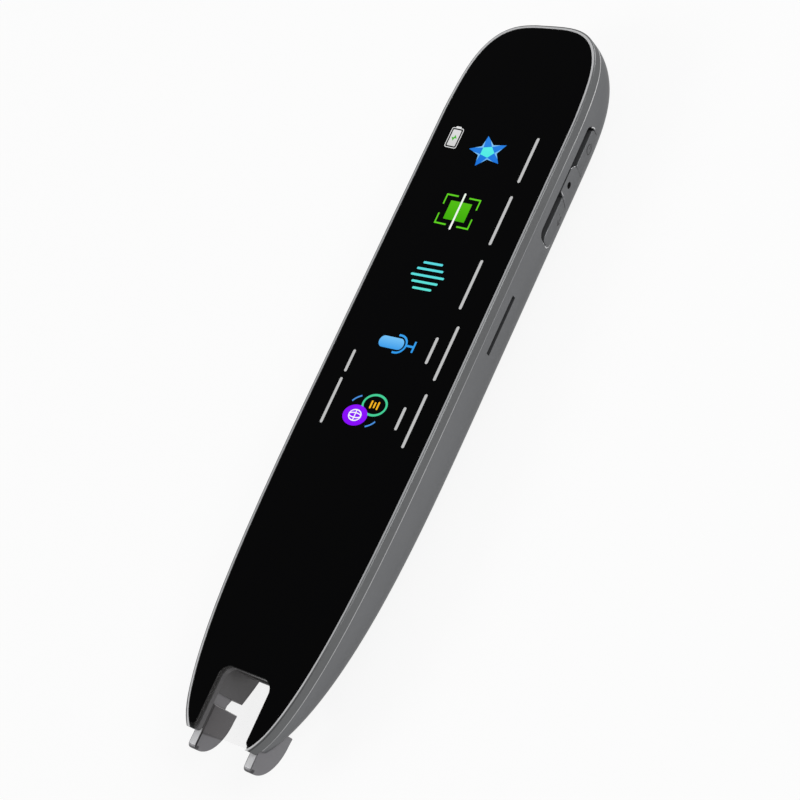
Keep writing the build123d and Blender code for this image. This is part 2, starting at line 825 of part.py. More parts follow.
# Battery on its foam pad, with the flat lead to the main board
battery_bottom = floor_depth - battery_pad_thickness
battery_top = board_back + card_socket_height + battery_gap
battery_start = connector_end + battery_lead_length
battery_end = body_length - battery_tip_distance
battery_half = half_width - battery_side_margin
with BuildPart() as battery:
    middle_block(battery_half, battery_start, battery_end, battery_top, battery_bottom)
    fillet(battery.edges().filter_by(Axis.Y), radius=battery_corner)
save(battery, "battery")
with BuildPart() as battery_pad:
    pad_half = battery_half - battery_pad_margin
    pad_start = battery_start + battery_pad_margin
    middle_block(pad_half, pad_start, battery_end - battery_pad_margin, battery_bottom, floor_depth)
save(battery_pad, "battery_pad")
lead_start_depth = board_back + connector_height / 2
lead_end_depth = battery_top + battery_flex_drop
with BuildPart() as battery_flex:
    with BuildSketch(Plane.YZ.offset(connector_across - battery_flex_width / 2)):
        with BuildLine() as flex_path:
            FilletPolyline(
                (along(connector_end), level(lead_start_depth)),
                (along(connector_end + battery_flex_run), level(lead_start_depth)),
                (along(battery_start - battery_flex_run / 2), level(lead_end_depth)),
                (along(battery_start), level(lead_end_depth)),
                radius=flex_bend,
            )
        trace(flex_path.line, flex_thickness)
    extrude(amount=battery_flex_width)
save(battery_flex, "battery_flex")

# Side board with the two key switches and the microphone
switch_face = key_flange_across - key_travel - key_stop_gap
switch_base = switch_face - switch_thickness
with BuildPart() as side_board:
    side_board_inner = switch_base - side_board_thickness
    side_board_start = keys_start - side_board_overhang
    side_board_end = keys_end - side_board_underhang
    side_board_foot = key_depth_back + side_board_foot_margin
    block(side_board_inner, switch_base, side_board_start, side_board_end, board_back, side_board_foot)
save(side_board, "side_board")
with BuildPart() as microphone:
    boot_inner = switch_base + mic_height
    mic_top = mic_depth - mic_size / 2
    mic_start = mic_distance - mic_size / 2
    block(switch_base, boot_inner, mic_start, mic_start + mic_size, mic_top, mic_top + mic_size)
save(microphone, "microphone")
with BuildPart() as microphone_boot:
    crosswise(mic_distance, mic_depth, mic_boot_radius, boot_inner, half_width)
    add(hollow.moved(Location((-mic_boot_gap, 0, 0))), mode=Mode.INTERSECT)
    crosswise(mic_distance, mic_depth, mic_hole_radius, boot_inner, half_width, Mode.SUBTRACT)
save(microphone_boot, "microphone_boot")

# The two side keys, each with its flange, its switch and the switch's plunger
flange_outer = key_flange_across + key_flange_thickness
for name, (start, end, slanted) in key_spans.items():
    key_middle = (start + end) / 2
    with BuildPart() as key:
        add(key_outline(flange_outer, start, end, slanted, key_gap))
        extrude(amount=half_width, dir=(1, 0, 0))
        add(outer_body.moved(Location((-key_recess, 0, 0))), mode=Mode.INTERSECT)
        add(key_outline(key_flange_across, start, end, slanted, -key_flange_lip))
        extrude(amount=key_flange_thickness, dir=(1, 0, 0))
    save(key, f"{name}_key")
    with BuildPart() as switch:
        left = key_middle - switch_length / 2
        top = key_middle_depth - switch_height / 2
        block(switch_base, switch_face, left, left + switch_length, top, top + switch_height)
        bore = plunger_radius + plunger_play
        crosswise(key_middle, key_middle_depth, bore, switch_base, switch_face, Mode.SUBTRACT)
    save(switch, f"{name}_switch")
    with BuildPart() as plunger:
        plunger_start = key_flange_across - plunger_length
        crosswise(key_middle, key_middle_depth, plunger_radius, plunger_start, key_flange_across)
    save(plunger, f"{name}_plunger")

# Memory card socket behind its slot
with BuildPart() as card_socket:
    socket_start = card_start - card_socket_skin - card_room
    socket_end = card_start + card_length + card_socket_skin + card_room
    socket_bottom = board_back + card_socket_height
    card_socket_inner = card_socket_reach - card_socket_width
    block(card_socket_inner, card_socket_reach, socket_start, socket_end, board_back, socket_bottom)
    room_start = socket_start + card_socket_skin
    room_end = socket_end - card_socket_skin
    room_left = card_socket_inner + card_socket_skin
    block(room_left, card_socket_reach, room_start, room_end, slot_top, slot_bottom, Mode.SUBTRACT)
save(card_socket, "card_socket")

# Case screws: from the recesses under the back plate and the speaker panel into the frame's bosses
with BuildPart() as case_screws:
    for side in (-1, 1):
        for distance, recess_floor in zip(screw_distances, recess_floors):
            place = side * case_screw_across
            head_top = recess_floor - case_screw_head_height
            upright(place, distance, case_screw_head_radius, head_top, recess_floor)
            upright(place, distance, screw_radius, boss_depth - case_screw_grip, head_top)
save(case_screws, "case_screws")

# Antenna strip on the inside of the shell
with BuildPart() as antenna:
    left = antenna_inset - half_width
    antenna_end = antenna_start + antenna_length
    block(left, left + antenna_thickness, antenna_start, antenna_end, antenna_top, antenna_bottom)
save(antenna, "antenna")

# Scanning camera: sensor board, housing, barrel and lens, under the frame
camera_board_start = body_length - camera_board_tip_distance
housing_start = camera_board_start + camera_board_thickness
barrel_start = housing_start + camera_housing_length
barrel_end = barrel_start + barrel_length
with BuildPart() as camera_board:
    middle_block(camera_board_width / 2, camera_board_start, housing_start, frame_depth, housing_bottom)
save(camera_board, "camera_board")
with BuildPart() as camera_housing:
    middle_block(camera_housing_width / 2, housing_start, barrel_start, frame_depth, housing_bottom)
    fillet(camera_housing.edges().filter_by(Axis.Y), radius=camera_housing_corner)
    lengthwise(0, lens_depth, barrel_bore, housing_start, barrel_start, Mode.SUBTRACT)
save(camera_housing, "camera_housing")
lens_end = barrel_end - lens_setback
with BuildPart() as lens_barrel:
    lengthwise(0, lens_depth, barrel_radius, barrel_start, barrel_end)
    lengthwise(0, lens_depth, barrel_bore, barrel_start, barrel_end, Mode.SUBTRACT)
save(lens_barrel, "lens_barrel")
with BuildPart() as camera_lens:
    lengthwise(0, lens_depth, barrel_bore, lens_end - lens_thickness, lens_end)
save(camera_lens, "camera_lens")

# Light board, its two lights and the black hood that closes the head of the notch
hood_end = notch_start
hood_start = hood_end - hood_thickness
hood_half = notch_width / 2 - hood_gap
light_across = hood_half - light_side_margin
hood_opening_half = light_across - light_width / 2 - hood_bar
hood_opening_top = lens_depth - hood_opening_height / 2
hood_opening_bottom = lens_depth + hood_opening_height / 2
light_top = lens_depth - light_height / 2
light_board_start = hood_start - light_board_thickness
with BuildPart() as light_board:
    light_board_bottom = hood_opening_bottom + light_board_overlap
    middle_block(hood_half, light_board_start, hood_start, frame_depth, light_board_bottom)
    view = (light_board_start, hood_start, hood_opening_top, hood_opening_bottom)
    middle_block(hood_opening_half, *view, Mode.SUBTRACT)
save(light_board, "light_board")
with BuildPart() as scan_lights:
    for side in (-1, 1):
        left = side * light_across - light_width / 2
        light_end = hood_start + light_thickness
        block(left, left + light_width, hood_start, light_end, light_top, light_top + light_height)
save(scan_lights, "scan_lights")
with BuildPart() as scan_hood:
    middle_block(hood_half, hood_start, hood_end, frame_depth, hood_depth)
    view = (hood_start, hood_end, hood_opening_top, hood_opening_bottom)
    middle_block(hood_opening_half, *view, Mode.SUBTRACT)
    for side in (-1, 1):
        room = light_width / 2 + light_gap
        place = side * light_across
        room_top = light_top - light_gap
        room_bottom = light_top + light_height + light_gap
        block(place - room, place + room, hood_start, hood_end, room_top, room_bottom, Mode.SUBTRACT)
save(scan_hood, "scan_hood")

# Liner of the notch: a U-shaped insert with a sloping face above the hood
slope_start = body_length - slope_start_tip_distance
slope_end = body_length - slope_end_tip_distance
liner_half = notch_width / 2
with BuildPart() as notch_liner:
    add(notch_outline(body_thickness, liner_width, liner_start, liner_corner))
    extrude(amount=level(liner_shelf_depth))
    middle_block(far, shell_stop, shell_stop + 2 * far, 0, body_thickness, Mode.SUBTRACT)
    middle_block(liner_half, slope_end, shell_stop + far, 0, body_thickness, Mode.SUBTRACT)
    middle_block(liner_half, hood_start - liner_gap, slope_end, 0, hood_depth + liner_gap, Mode.SUBTRACT)
    with BuildSketch(Plane.YZ):
        with BuildLine():
            Polyline(
                (along(slope_start), 0),
                (along(slope_start), level(slope_start_depth)),
                (along(slope_end), level(slope_end_depth)),
                (along(slope_end), 0),
                close=True,
            )
        make_face()
    extrude(amount=liner_half, both=True, mode=Mode.SUBTRACT)
    for side in (-1, 1):
        skin_left = min(side * liner_half, side * (liner_half + liner_skin))
        block(skin_left, skin_left + liner_skin, slope_end, shell_stop, frame_depth, liner_shelf_depth)
    add(outer_body, mode=Mode.INTERSECT)
save(notch_liner, "notch_liner")

# Trigger feet: a rounded fin that leans on the paper, and the stem that runs up inside the prong
stem_joint = body_length - stem_joint_tip_distance
for name, side in (("left", -1), ("right", 1)):
    inner = side * foot_inner
    with BuildPart() as foot:
        with BuildSketch(Plane.YZ.offset(inner)):
            with BuildLine():
                Polyline(
                    (along(foot_toe), level(foot_toe_depth)),
                    (along(foot_toe - foot_toe_rise), level(foot_front_depth)),
                    (along(foot_top), level(foot_front_depth)),
                    (along(foot_top), level(foot_back_depth)),
                    (along(foot_top + foot_heel_drop), level(foot_back_depth)),
                )
                EllipticalCenterArc(
                    (along(foot_top + foot_heel_drop), level(foot_toe_depth)),
                    foot_toe - foot_top - foot_heel_drop,
                    foot_back_depth - foot_toe_depth,
                    start_angle=180,
                    arc_size=90,
                )
            make_face()
        extrude(amount=foot_outer - foot_inner, dir=(side, 0, 0))
        fillet(foot.faces().filter_by(Axis.X).edges(), radius=foot_round)
        left = min(side * stem_inner, side * stem_outer)
        stem_end = foot_top + foot_round
        block(left, left + stem_width, stem_joint, stem_end, stem_front_depth, stem_back_depth)
    save(foot, f"{name}_foot")

# Yoke: a bridge behind the lens that joins the two stems
yoke_end = yoke_start + yoke_length
with BuildPart() as trigger_yoke:
    middle_block(stem_outer, yoke_start, yoke_end, yoke_bar_top, yoke_bar_bottom)
    for side in (-1, 1):
        left = min(side * stem_inner, side * stem_outer)
        block(left, left + stem_width, yoke_start, yoke_end, stem_front_depth, yoke_bar_bottom)
        block(left, left + stem_width, yoke_end, stem_joint, stem_front_depth, stem_back_depth)
save(trigger_yoke, "trigger_yoke")

# Trigger switch on its board, with the plunger that the yoke pushes in
with BuildPart() as trigger_board:
    place = (trigger_switch_start, trigger_switch_end, trigger_board_depth, rib_top)
    middle_block(trigger_board_width / 2, *place)
save(trigger_board, "trigger_board")
plunger_inner = yoke_start - trigger_plunger_length
with BuildPart() as trigger_switch:
    switch_top = trigger_board_depth - trigger_switch_height
    place = (trigger_switch_start, trigger_switch_end, switch_top, trigger_board_depth)
    middle_block(trigger_switch_width / 2, *place)
    bore = trigger_plunger_radius + trigger_play
    bore_start = plunger_inner - trigger_travel - travel_spare
    lengthwise(0, trigger_middle_depth, bore, bore_start, trigger_switch_end, Mode.SUBTRACT)
save(trigger_switch, "trigger_switch")
with BuildPart() as trigger_plunger:
    lengthwise(0, trigger_middle_depth, trigger_plunger_radius, plunger_inner, yoke_start)
save(trigger_plunger, "trigger_plunger")

# Two return springs between the frame's abutments and the yoke
coil_length = spring_length - 2 * spring_end_gap - 2 * spring_wire
with BuildPart() as trigger_springs:
    for side in (-1, 1):
        coil_foot = along(yoke_start - spring_end_gap - spring_wire)
        coil_place = (side * spring_across, coil_foot, level(spring_depth))
        with BuildLine() as coil:
            Helix(spring_pitch, coil_length, spring_radius, center=coil_place, direction=(0, 1, 0))
        with BuildSketch(Plane(origin=coil.line @ 0, z_dir=coil.line % 0)):
            Circle(spring_wire)
        sweep(path=coil.line, is_frenet=True)
save(trigger_springs, "trigger_springs")
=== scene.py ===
"""Dressed model of a scanning translator pen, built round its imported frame.

Shapes are worked out as whole arrays of points (across, distance, depth) in millimetres. Across is X,
distance runs from the port end towards the tip, and depth runs from the front face towards the back.
PenFrame turns them into the row frame in metres.
"""

import json
import logging
import math
from dataclasses import dataclass, field
from enum import Enum
from typing import Any, Callable, Sequence

import bmesh
import bpy
import numpy as np
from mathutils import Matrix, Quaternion

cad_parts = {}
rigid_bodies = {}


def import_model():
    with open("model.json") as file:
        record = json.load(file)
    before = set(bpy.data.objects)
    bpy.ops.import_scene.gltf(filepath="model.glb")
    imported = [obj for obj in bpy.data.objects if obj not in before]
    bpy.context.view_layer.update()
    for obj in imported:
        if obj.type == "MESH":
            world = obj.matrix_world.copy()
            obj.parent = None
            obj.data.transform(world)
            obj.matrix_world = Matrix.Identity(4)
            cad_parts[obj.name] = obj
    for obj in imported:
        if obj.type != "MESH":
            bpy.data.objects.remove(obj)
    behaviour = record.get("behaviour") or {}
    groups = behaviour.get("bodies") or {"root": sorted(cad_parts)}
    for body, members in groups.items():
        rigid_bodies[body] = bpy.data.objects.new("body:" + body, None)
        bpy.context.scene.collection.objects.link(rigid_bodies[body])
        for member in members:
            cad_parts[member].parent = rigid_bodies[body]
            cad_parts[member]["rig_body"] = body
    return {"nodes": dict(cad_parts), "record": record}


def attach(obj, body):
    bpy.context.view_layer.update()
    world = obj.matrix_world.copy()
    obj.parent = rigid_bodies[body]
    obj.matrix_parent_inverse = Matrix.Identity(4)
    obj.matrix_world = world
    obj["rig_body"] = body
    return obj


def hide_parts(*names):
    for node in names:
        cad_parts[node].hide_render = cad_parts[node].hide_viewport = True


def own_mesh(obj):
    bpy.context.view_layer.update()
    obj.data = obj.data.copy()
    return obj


logging.basicConfig(level=logging.INFO, format="%(message)s")
LOG = logging.getLogger("pen")

Pair = tuple[float, float]
Triple = tuple[float, float, float]
Colour = Triple
Box = tuple[Pair, Pair]


@dataclass(frozen=True)
class PenFrame:
    """Where the pen's own measures lie in the row frame."""

    crown: float = 73.3
    face: float = 13.0
    unit: float = 0.001

    def place(self, points: np.ndarray) -> np.ndarray:
        """Turn pen measures into the row frame: Y is crown less distance, Z is face less depth, in metres.

        Args:
            points: An array whose last axis holds across, distance and depth in millimetres.

        Returns:
            The same points as X, Y and Z in metres.
        """
        return (points * (1, -1, -1) + (0, self.crown, self.face)) * self.unit


PEN = PenFrame()


def eased(value: np.ndarray | float) -> np.ndarray:
    """Smooth step: three times the square less twice the cube, held between 0 and 1."""
    held = np.clip(value, 0, 1)
    return held * held * (3 - 2 * held)


def spaced(path: np.ndarray, count: int) -> np.ndarray:
    """Points evenly spaced along a path, each found by its share of the path's length.

    Args:
        path: Points of the path, one per row.
        count: How many points to return, both ends included.

    Returns:
        The evenly spaced points.
    """
    run = np.concatenate([[0], np.cumsum(np.linalg.norm(np.diff(path, axis=0), axis=1))])
    share = np.linspace(0, run[-1], count)
    return np.stack([np.interp(share, run, path[:, axis]) for axis in range(path.shape[1])], -1)


def oblong(low: Pair, high: Pair) -> list[Pair]:
    """Four corners of an upright rectangle between its lowest and highest corner."""
    return [low, (high[0], low[1]), high, (low[0], high[1])]


def rounded(corners: Sequence[Pair], radii: Sequence[float] | float, steps: int = 7) -> np.ndarray:
    """Closed outline with rounded corners.

    Each arc starts at the radius over the tangent of half the corner's angle from the corner, and turns
    about a centre on the corner's bisector.

    Args:
        corners: The corner points in order.
        radii: The radius at each corner, or one for all.
        steps: Points on each arc.

    Returns:
        The outline's points, one per row.
    """
    corner = np.array(corners, float)
    radius = np.broadcast_to(np.array(radii, float), len(corner))[:, None]
    before = np.roll(corner, 1, 0) - corner
    after = np.roll(corner, -1, 0) - corner
    before /= np.linalg.norm(before, axis=1, keepdims=True)
    after /= np.linalg.norm(after, axis=1, keepdims=True)
    half = np.arccos(np.clip((before * after).sum(1, keepdims=True), -1, 1)) / 2
    middle = before + after
    middle /= np.linalg.norm(middle, axis=1, keepdims=True)
    centre = corner + middle * radius / np.sin(half)
    first = corner + before * radius / np.tan(half) - centre
    last = corner + after * radius / np.tan(half) - centre
    sweep = (math.pi - 2 * half)[:, None, :]
    share = np.linspace(0, 1, steps)[None, :, None]
    leaving = first[:, None] * np.sin((1 - share) * sweep)
    arriving = last[:, None] * np.sin(share * sweep)
    return (centre[:, None] + (leaving + arriving) / np.sin(sweep)).reshape(-1, 2)


def arc(centre: Pair, radii: Pair, start: float, stop: float, steps: int) -> np.ndarray:
    """Points on an ellipse: the centre plus each radius times the cosine and sine of even angles.

    Args:
        centre: The ellipse's middle.
        radii: Its two half widths.
        start: First angle in degrees.
        stop: Last angle in degrees.
        steps: How many points.

    Returns:
        The points, one per row.
    """
    angle = np.radians(np.linspace(start, stop, steps))
    return np.stack([np.cos(angle), np.sin(angle)], -1) * radii + centre


def sides(path: np.ndarray, width: float, closed: bool) -> tuple[np.ndarray, np.ndarray]:
    """Both edges of a line of some width: each point moved by half of it along the path's normal.

    At an inner point the normal is the middle one of its two runs, lengthened by the inverse of its cosine.

    Args:
        path: Points of the line.
        width: Its width.
        closed: Whether it closes on itself.

    Returns:
        The left and the right edge.
    """
    runs = np.diff(np.concatenate([path, path[:1]]) if closed else path, axis=0)
    runs /= np.linalg.norm(runs, axis=1, keepdims=True)
    before = np.roll(runs, 1, 0) if closed else np.concatenate([runs[:1], runs])
    after = runs if closed else np.concatenate([runs, runs[-1:]])
    middle = before + after
    middle /= np.linalg.norm(middle, axis=1, keepdims=True)
    reach = width / 2 / np.maximum((middle * before).sum(1, keepdims=True), 0.35)
    normal = np.stack([middle[:, 1], -middle[:, 0]], -1) * reach
    return path - normal, path + normal


class Solid:
    """Closed surfaces gathered into one mesh."""

    def __init__(self) -> None:
        """Start with no points and no faces."""
        self.points: list[np.ndarray] = []
        self.faces: list[tuple[int, ...]] = []
        self.count = 0

    def tube(self, rings: np.ndarray, endless: bool = False) -> "Solid":
        """Add rings of points joined to each other by quads, where point j of ring i joins ring i + 1.

        Args:
            rings: Rings by points by (across, distance, depth). Each ring is closed on itself.
            endless: Whether the last ring joins the first. Otherwise both ends are capped.

        Returns:
            This solid.
        """
        rows, columns, _ = rings.shape
        index = np.arange(rows * columns).reshape(rows, columns) + self.count
        here = index if endless else index[:-1]
        there = np.roll(index, -1, 0) if endless else index[1:]
        quads = np.stack([here, np.roll(here, -1, 1), np.roll(there, -1, 1), there], -1)
        self.faces += list(map(tuple, quads.reshape(-1, 4).tolist()))
        if not endless:
            self.faces += [tuple(index[0][::-1].tolist()), tuple(index[-1].tolist())]
        self.points.append(rings.reshape(-1, 3))
        self.count += rows * columns
        return self

    def slab(self, outline: np.ndarray, top: float, bottom: float, edge: float = 0.0) -> "Solid":
        """Add a flat plate in plan, with its upper edge drawn in and down by a small rounding.

        Args:
            outline: Closed outline as (across, distance).
            top: Depth of the upper face.
            bottom: Depth of the lower face.
            edge: How far the upper edge is rounded.

        Returns:
            This solid.
        """
        turns = np.radians([0, 30, 60, 90]) if edge else np.zeros(1)
        insets, drops = edge * (1 - np.sin(turns)), edge * (1 - np.cos(turns))
        rings = [layer(shrunk(outline, inset), top + drop) for inset, drop in zip(insets, drops)]
        return self.tube(np.stack([*rings, layer(outline, bottom)]))

    def line(
        self, path: np.ndarray, width: float, closed: bool, lay: Callable[..., np.ndarray], levels: Pair
    ) -> "Solid":
        """Add a flat line along a path, as a bar between two levels over a surface.

        Args:
            path: Points of the line.
            width: Its width.
            closed: Whether it closes on itself.
            lay: Puts points on the surface at a level.
            levels: The bar's upper and lower level.

        Returns:
            This solid.
        """
        left, right = sides(path, width, closed)
        top, bottom = levels
        rings = [lay(left, top), lay(right, top), lay(right, bottom), lay(left, bottom)]
        return self.tube(np.stack(rings, 1), closed)

    def piece(self, name: str, joined: float = 1e-4) -> bpy.types.Object:
        """Make the mesh and its object, with doubled points merged and faces turned outwards.

        Args:
            name: The new object's name.
            joined: Points nearer than this, in millimetres, become one.

        Returns:
            The object, linked to the scene and shaded smooth up to 30 degrees.
        """
        mesh = bpy.data.meshes.new(name)
        mesh.from_pydata(PEN.place(np.concatenate(self.points)).tolist(), [], self.faces)
        work = bmesh.new()
        work.from_mesh(mesh)
        bmesh.ops.remove_doubles(work, verts=work.verts, dist=joined * PEN.unit)
        bmesh.ops.recalc_face_normals(work, faces=work.faces)
        work.to_mesh(mesh)
        work.free()
        return shown(mesh, name)


def layer(outline: np.ndarray, depth: np.ndarray | float) -> np.ndarray:
    """Give a plan outline its depth, as a third column."""
    return np.concatenate([outline, np.broadcast_to(depth, len(outline))[:, None]], 1)


def upright(outline: np.ndarray, across: np.ndarray | float) -> np.ndarray:
    """Give a side outline its place across, as a first column."""
    return np.concatenate([np.broadcast_to(across, len(outline))[:, None], outline], 1)


class Way(Enum):
    """Directions in which a cutter runs, by their place in (across, distance, depth)."""

    ACROSS = 0
    DISTANCE = 1
    DEPTH = 2


def prism(name: str, way: Way, outline: np.ndarray, ends: Pair) -> bpy.types.Object:
    """Carry a flat outline straight along one direction.

    Args:
        name: The new object's name.
        way: The direction.
        outline: The section, as the other two measures.
        ends: Where it starts and stops.

    Returns:
        The solid, as an object.
    """
    return Solid().tube(np.stack([np.insert(outline, way.value, end, axis=1) for end in ends])).piece(name)


def shrunk(outline: np.ndarray, amount: float) -> np.ndarray:
    """Move each point of a closed outline inwards along the normal of the chord between its neighbours.

    Args:
        outline: Closed outline, one point per row, in either direction.
        amount: How far the points move in.

    Returns:
        The smaller outline.
    """
    chord = np.roll(outline, -1, 0) - np.roll(outline, 1, 0)
    normal = np.stack([chord[:, 1], -chord[:, 0]], -1)
    normal /= np.maximum(np.linalg.norm(normal, axis=1, keepdims=True), 1e-9)
    x, y = outline.T
    turning = np.sign(np.sum(x * np.roll(y, -1) - y * np.roll(x, -1)))
    return outline - normal * turning * amount


def shown(mesh: bpy.types.Mesh, name: str, angle: float = 30.0) -> bpy.types.Object:
    """Link a mesh to the scene as an object, smooth wherever faces meet at less than an angle.

    Args:
        mesh: The finished mesh.
        name: The object's name.
        angle: Sharpest smooth edge in degrees.

    Returns:
        The new object.
    """
    mesh.polygons.foreach_set("use_smooth", np.ones(len(mesh.polygons), bool))
    mesh.set_sharp_from_angle(angle=math.radians(angle))
    made = bpy.data.objects.new(name, mesh)
    bpy.context.scene.collection.objects.link(made)
    return made


def face_parts(mesh: bpy.types.Mesh) -> tuple[np.ndarray, np.ndarray]:
    """Which way each face of a mesh points, and where it is.

    Args:
        mesh: Any mesh.

    Returns:
        The faces' normals, and their middles in millimetres, one face per row.
    """
    normal = np.zeros(len(mesh.polygons) * 3, np.float32)
    centre = np.zeros_like(normal)
    mesh.polygons.foreach_get("normal", normal)
    mesh.polygons.foreach_get("center", centre)
    return normal.reshape(-1, 3), centre.reshape(-1, 3) / PEN.unit


def paint(mesh: bpy.types.Mesh, regions: Sequence[tuple["Finish", np.ndarray]]) -> None:
    """Give parts of a mesh a finish of their own.

    Args:
        mesh: A mesh that already has its main finish.
        regions: Each finish with a mask of its faces. A later one covers an earlier one.
    """
    index = np.zeros(len(mesh.polygons), np.int32)
    for place, (finish, mask) in enumerate(regions, len(mesh.materials)):
        mesh.materials.append(finish.material())
        index[mask] = place
    mesh.polygons.foreach_set("material_index", index)


def carved(target: bpy.types.Object, cutters: Sequence[bpy.types.Object], angle: float) -> bpy.types.Object:
    """Cut solids out of a solid and keep the result as its mesh.

    Args:
        target: The solid to cut.
        cutters: The solids that are cut away, which are removed afterwards.
        angle: Sharpest smooth edge of the result in degrees.

    Returns:
        The cut object.
    """
    for cutter in cutters:
        step = target.modifiers.new(cutter.name, "BOOLEAN")
        step.operation = "DIFFERENCE"
        step.solver = "MANIFOLD"
        step.object = cutter
    graph = bpy.context.evaluated_depsgraph_get()
    mesh = bpy.data.meshes.new_from_object(target.evaluated_get(graph))
    name = target.name
    for spent in (target, *cutters):
        bpy.data.objects.remove(spent)
    return shown(mesh, name, angle)


class Signal:
    """A shader value that takes part in Python arithmetic, each sum adding its own Math node."""

    def __init__(self, shader: "Shader", socket: bpy.types.NodeSocket) -> None:
        """Wrap a value socket of a shader."""
        self.shader = shader
        self.socket = socket

    def math(self, operation: str, *terms: Any, clamp: bool = False) -> "Signal":
        """Add a Math node.

        Args:
            operation: The node's operation.
            *terms: Its inputs in order, as signals, sockets or numbers.
            clamp: Whether the result is held between 0 and 1.

        Returns:
            The node's result.
        """
        settings = {"operation": operation, "use_clamp": clamp}
        made = self.shader.node("ShaderNodeMath", settings, dict(enumerate(terms)))
        return Signal(self.shader, made.outputs[0])

    def __add__(self, other: Any) -> "Signal":
        """Sum."""
        return self.math("ADD", self, other)

    def __sub__(self, other: Any) -> "Signal":
        """Difference."""
        return self.math("SUBTRACT", self, other)

    def __rsub__(self, other: Any) -> "Signal":
        """Difference from a number."""
        return self.math("SUBTRACT", other, self)

    def __mul__(self, other: Any) -> "Signal":
        """Product."""
        return self.math("MULTIPLY", self, other)

    def __truediv__(self, other: Any) -> "Signal":
        """Quotient."""
        return self.math("DIVIDE", self, other)

    def __rtruediv__(self, other: Any) -> "Signal":
        """Quotient of a number by this."""
        return self.math("DIVIDE", other, self)

    def __pow__(self, other: Any) -> "Signal":
        """Power."""
        return self.math("POWER", self, other)

    def __rpow__(self, other: Any) -> "Signal":
        """Power of a number."""
        return self.math("POWER", other, self)

    __radd__ = __add__
    __rmul__ = __mul__

    def size(self) -> "Signal":
        """Absolute value."""
        return self.math("ABSOLUTE", self)

    def held(self) -> "Signal":
        """The value held between 0 and 1."""
        return self.math("ADD", self, 0.0, clamp=True)

    def folded(self, length: float) -> "Signal":
        """The value folded to and fro between 0 and a length."""
        return self.math("PINGPONG", self, length)

    def step(self, low: float, high: float) -> "Signal":
        """Smooth step.

        Args:
            low: Where it leaves 0.
            high: Where it reaches 1.

        Returns:
            A value from 0 to 1.
        """
        settings = {"interpolation_type": "SMOOTHSTEP"}
        made = self.shader.node("ShaderNodeMapRange", settings, {0: self, 1: low, 2: high})
        return Signal(self.shader, made.outputs[0])


class Shader:
    """A node tree and the one way in which nodes are added to it."""

    def __init__(self, tree: bpy.types.NodeTree) -> None:
        """Empty a node tree and take it over."""
        self.tree = tree
        self.tree.nodes.clear()

    def node(self, kind: str, settings: dict[str, Any] | None, inputs: dict[Any, Any]) -> bpy.types.Node:
        """Add a node.

        Args:
            kind: The node's type.
            settings: Its own settings, which are set first.
            inputs: Values or links of its sockets, by name or place.

        Returns:
            The new node.
        """
        made = self.tree.nodes.new(kind)
        for name, value in (settings or {}).items():
            setattr(made, name, value)
        for name, value in inputs.items():
            socket = made.inputs[name]
            if isinstance(value, Signal):
                self.tree.links.new(value.socket, socket)
            elif isinstance(value, bpy.types.NodeSocket):
                self.tree.links.new(value, socket)
            elif isinstance(value, tuple) and socket.type == "RGBA" and len(value) == 3:
                socket.default_value = (*value, 1.0)
            else:
                socket.default_value = value
        return made

    def signal(self, socket: bpy.types.NodeSocket) -> Signal:
        """Wrap a socket for arithmetic."""
        return Signal(self, socket)

    def place(self, stretch: Triple = (1, 1, 1)) -> bpy.types.NodeSocket:
        """Object coordinates, scaled along each axis."""
        spot = self.node("ShaderNodeTexCoord", None, {}).outputs["Object"]
        return self.node("ShaderNodeMapping", None, {"Vector": spot, "Scale": stretch}).outputs[0]

    def parts(self, scale: float = 1000.0) -> list[Signal]:
        """The three object coordinates as signals, in millimetres or at another scale to the metre."""
        split = self.node("ShaderNodeSeparateXYZ", None, {0: self.place((scale, scale, scale))})
        return [self.signal(socket) for socket in split.outputs]

    def noise(self, scale: float, stretch: Triple = (1, 1, 1), detail: float = 3.0) -> Signal:
        """Noise over the object's own coordinates.

        Args:
            scale: Waves per metre.
            stretch: Share of the scale along each axis.
            detail: How many finer layers are added.

        Returns:
            A value round 0.5.
        """
        inputs = {"Vector": self.place(stretch), "Scale": scale, "Detail": detail}
        return self.signal(self.node("ShaderNodeTexNoise", None, inputs).outputs[0])

    def cells(self, scale: float, **settings: str) -> Signal:
        """Distance from the nearest of many scattered points.

        Args:
            scale: Cells per metre.
            **settings: Settings of the cell texture.

        Returns:
            The distance, in cells.
        """
        inputs = {"Vector": self.place(), "Scale": scale}
        return self.signal(self.node("ShaderNodeTexVoronoi", settings, inputs).outputs["Distance"])

    def blend(self, factor: Any, first: Any, second: Any) -> bpy.types.NodeSocket:
        """Mix two colours by a factor."""
        inputs = {0: factor, 6: first, 7: second}
        return self.node("ShaderNodeMix", {"data_type": "RGBA"}, inputs).outputs[2]

    def bump(self, height: Any, distance: float, strength: float) -> bpy.types.NodeSocket:
        """Turn a height into a normal."""
        inputs = {"Height": height, "Distance": distance, "Strength": strength}
        return self.node("ShaderNodeBump", None, inputs).outputs[0]

    def finish(self, **inputs: Any) -> None:
        """Close the tree with a Principled shader.

        Args:
            **inputs: Values or links of its sockets by name, with _ for each space.
        """
        named = {name.replace("_", " "): value for name, value in inputs.items()}
        surface = self.node("ShaderNodeBsdfPrincipled", None, named)
        self.node("ShaderNodeOutputMaterial", None, {0: surface.outputs[0]})


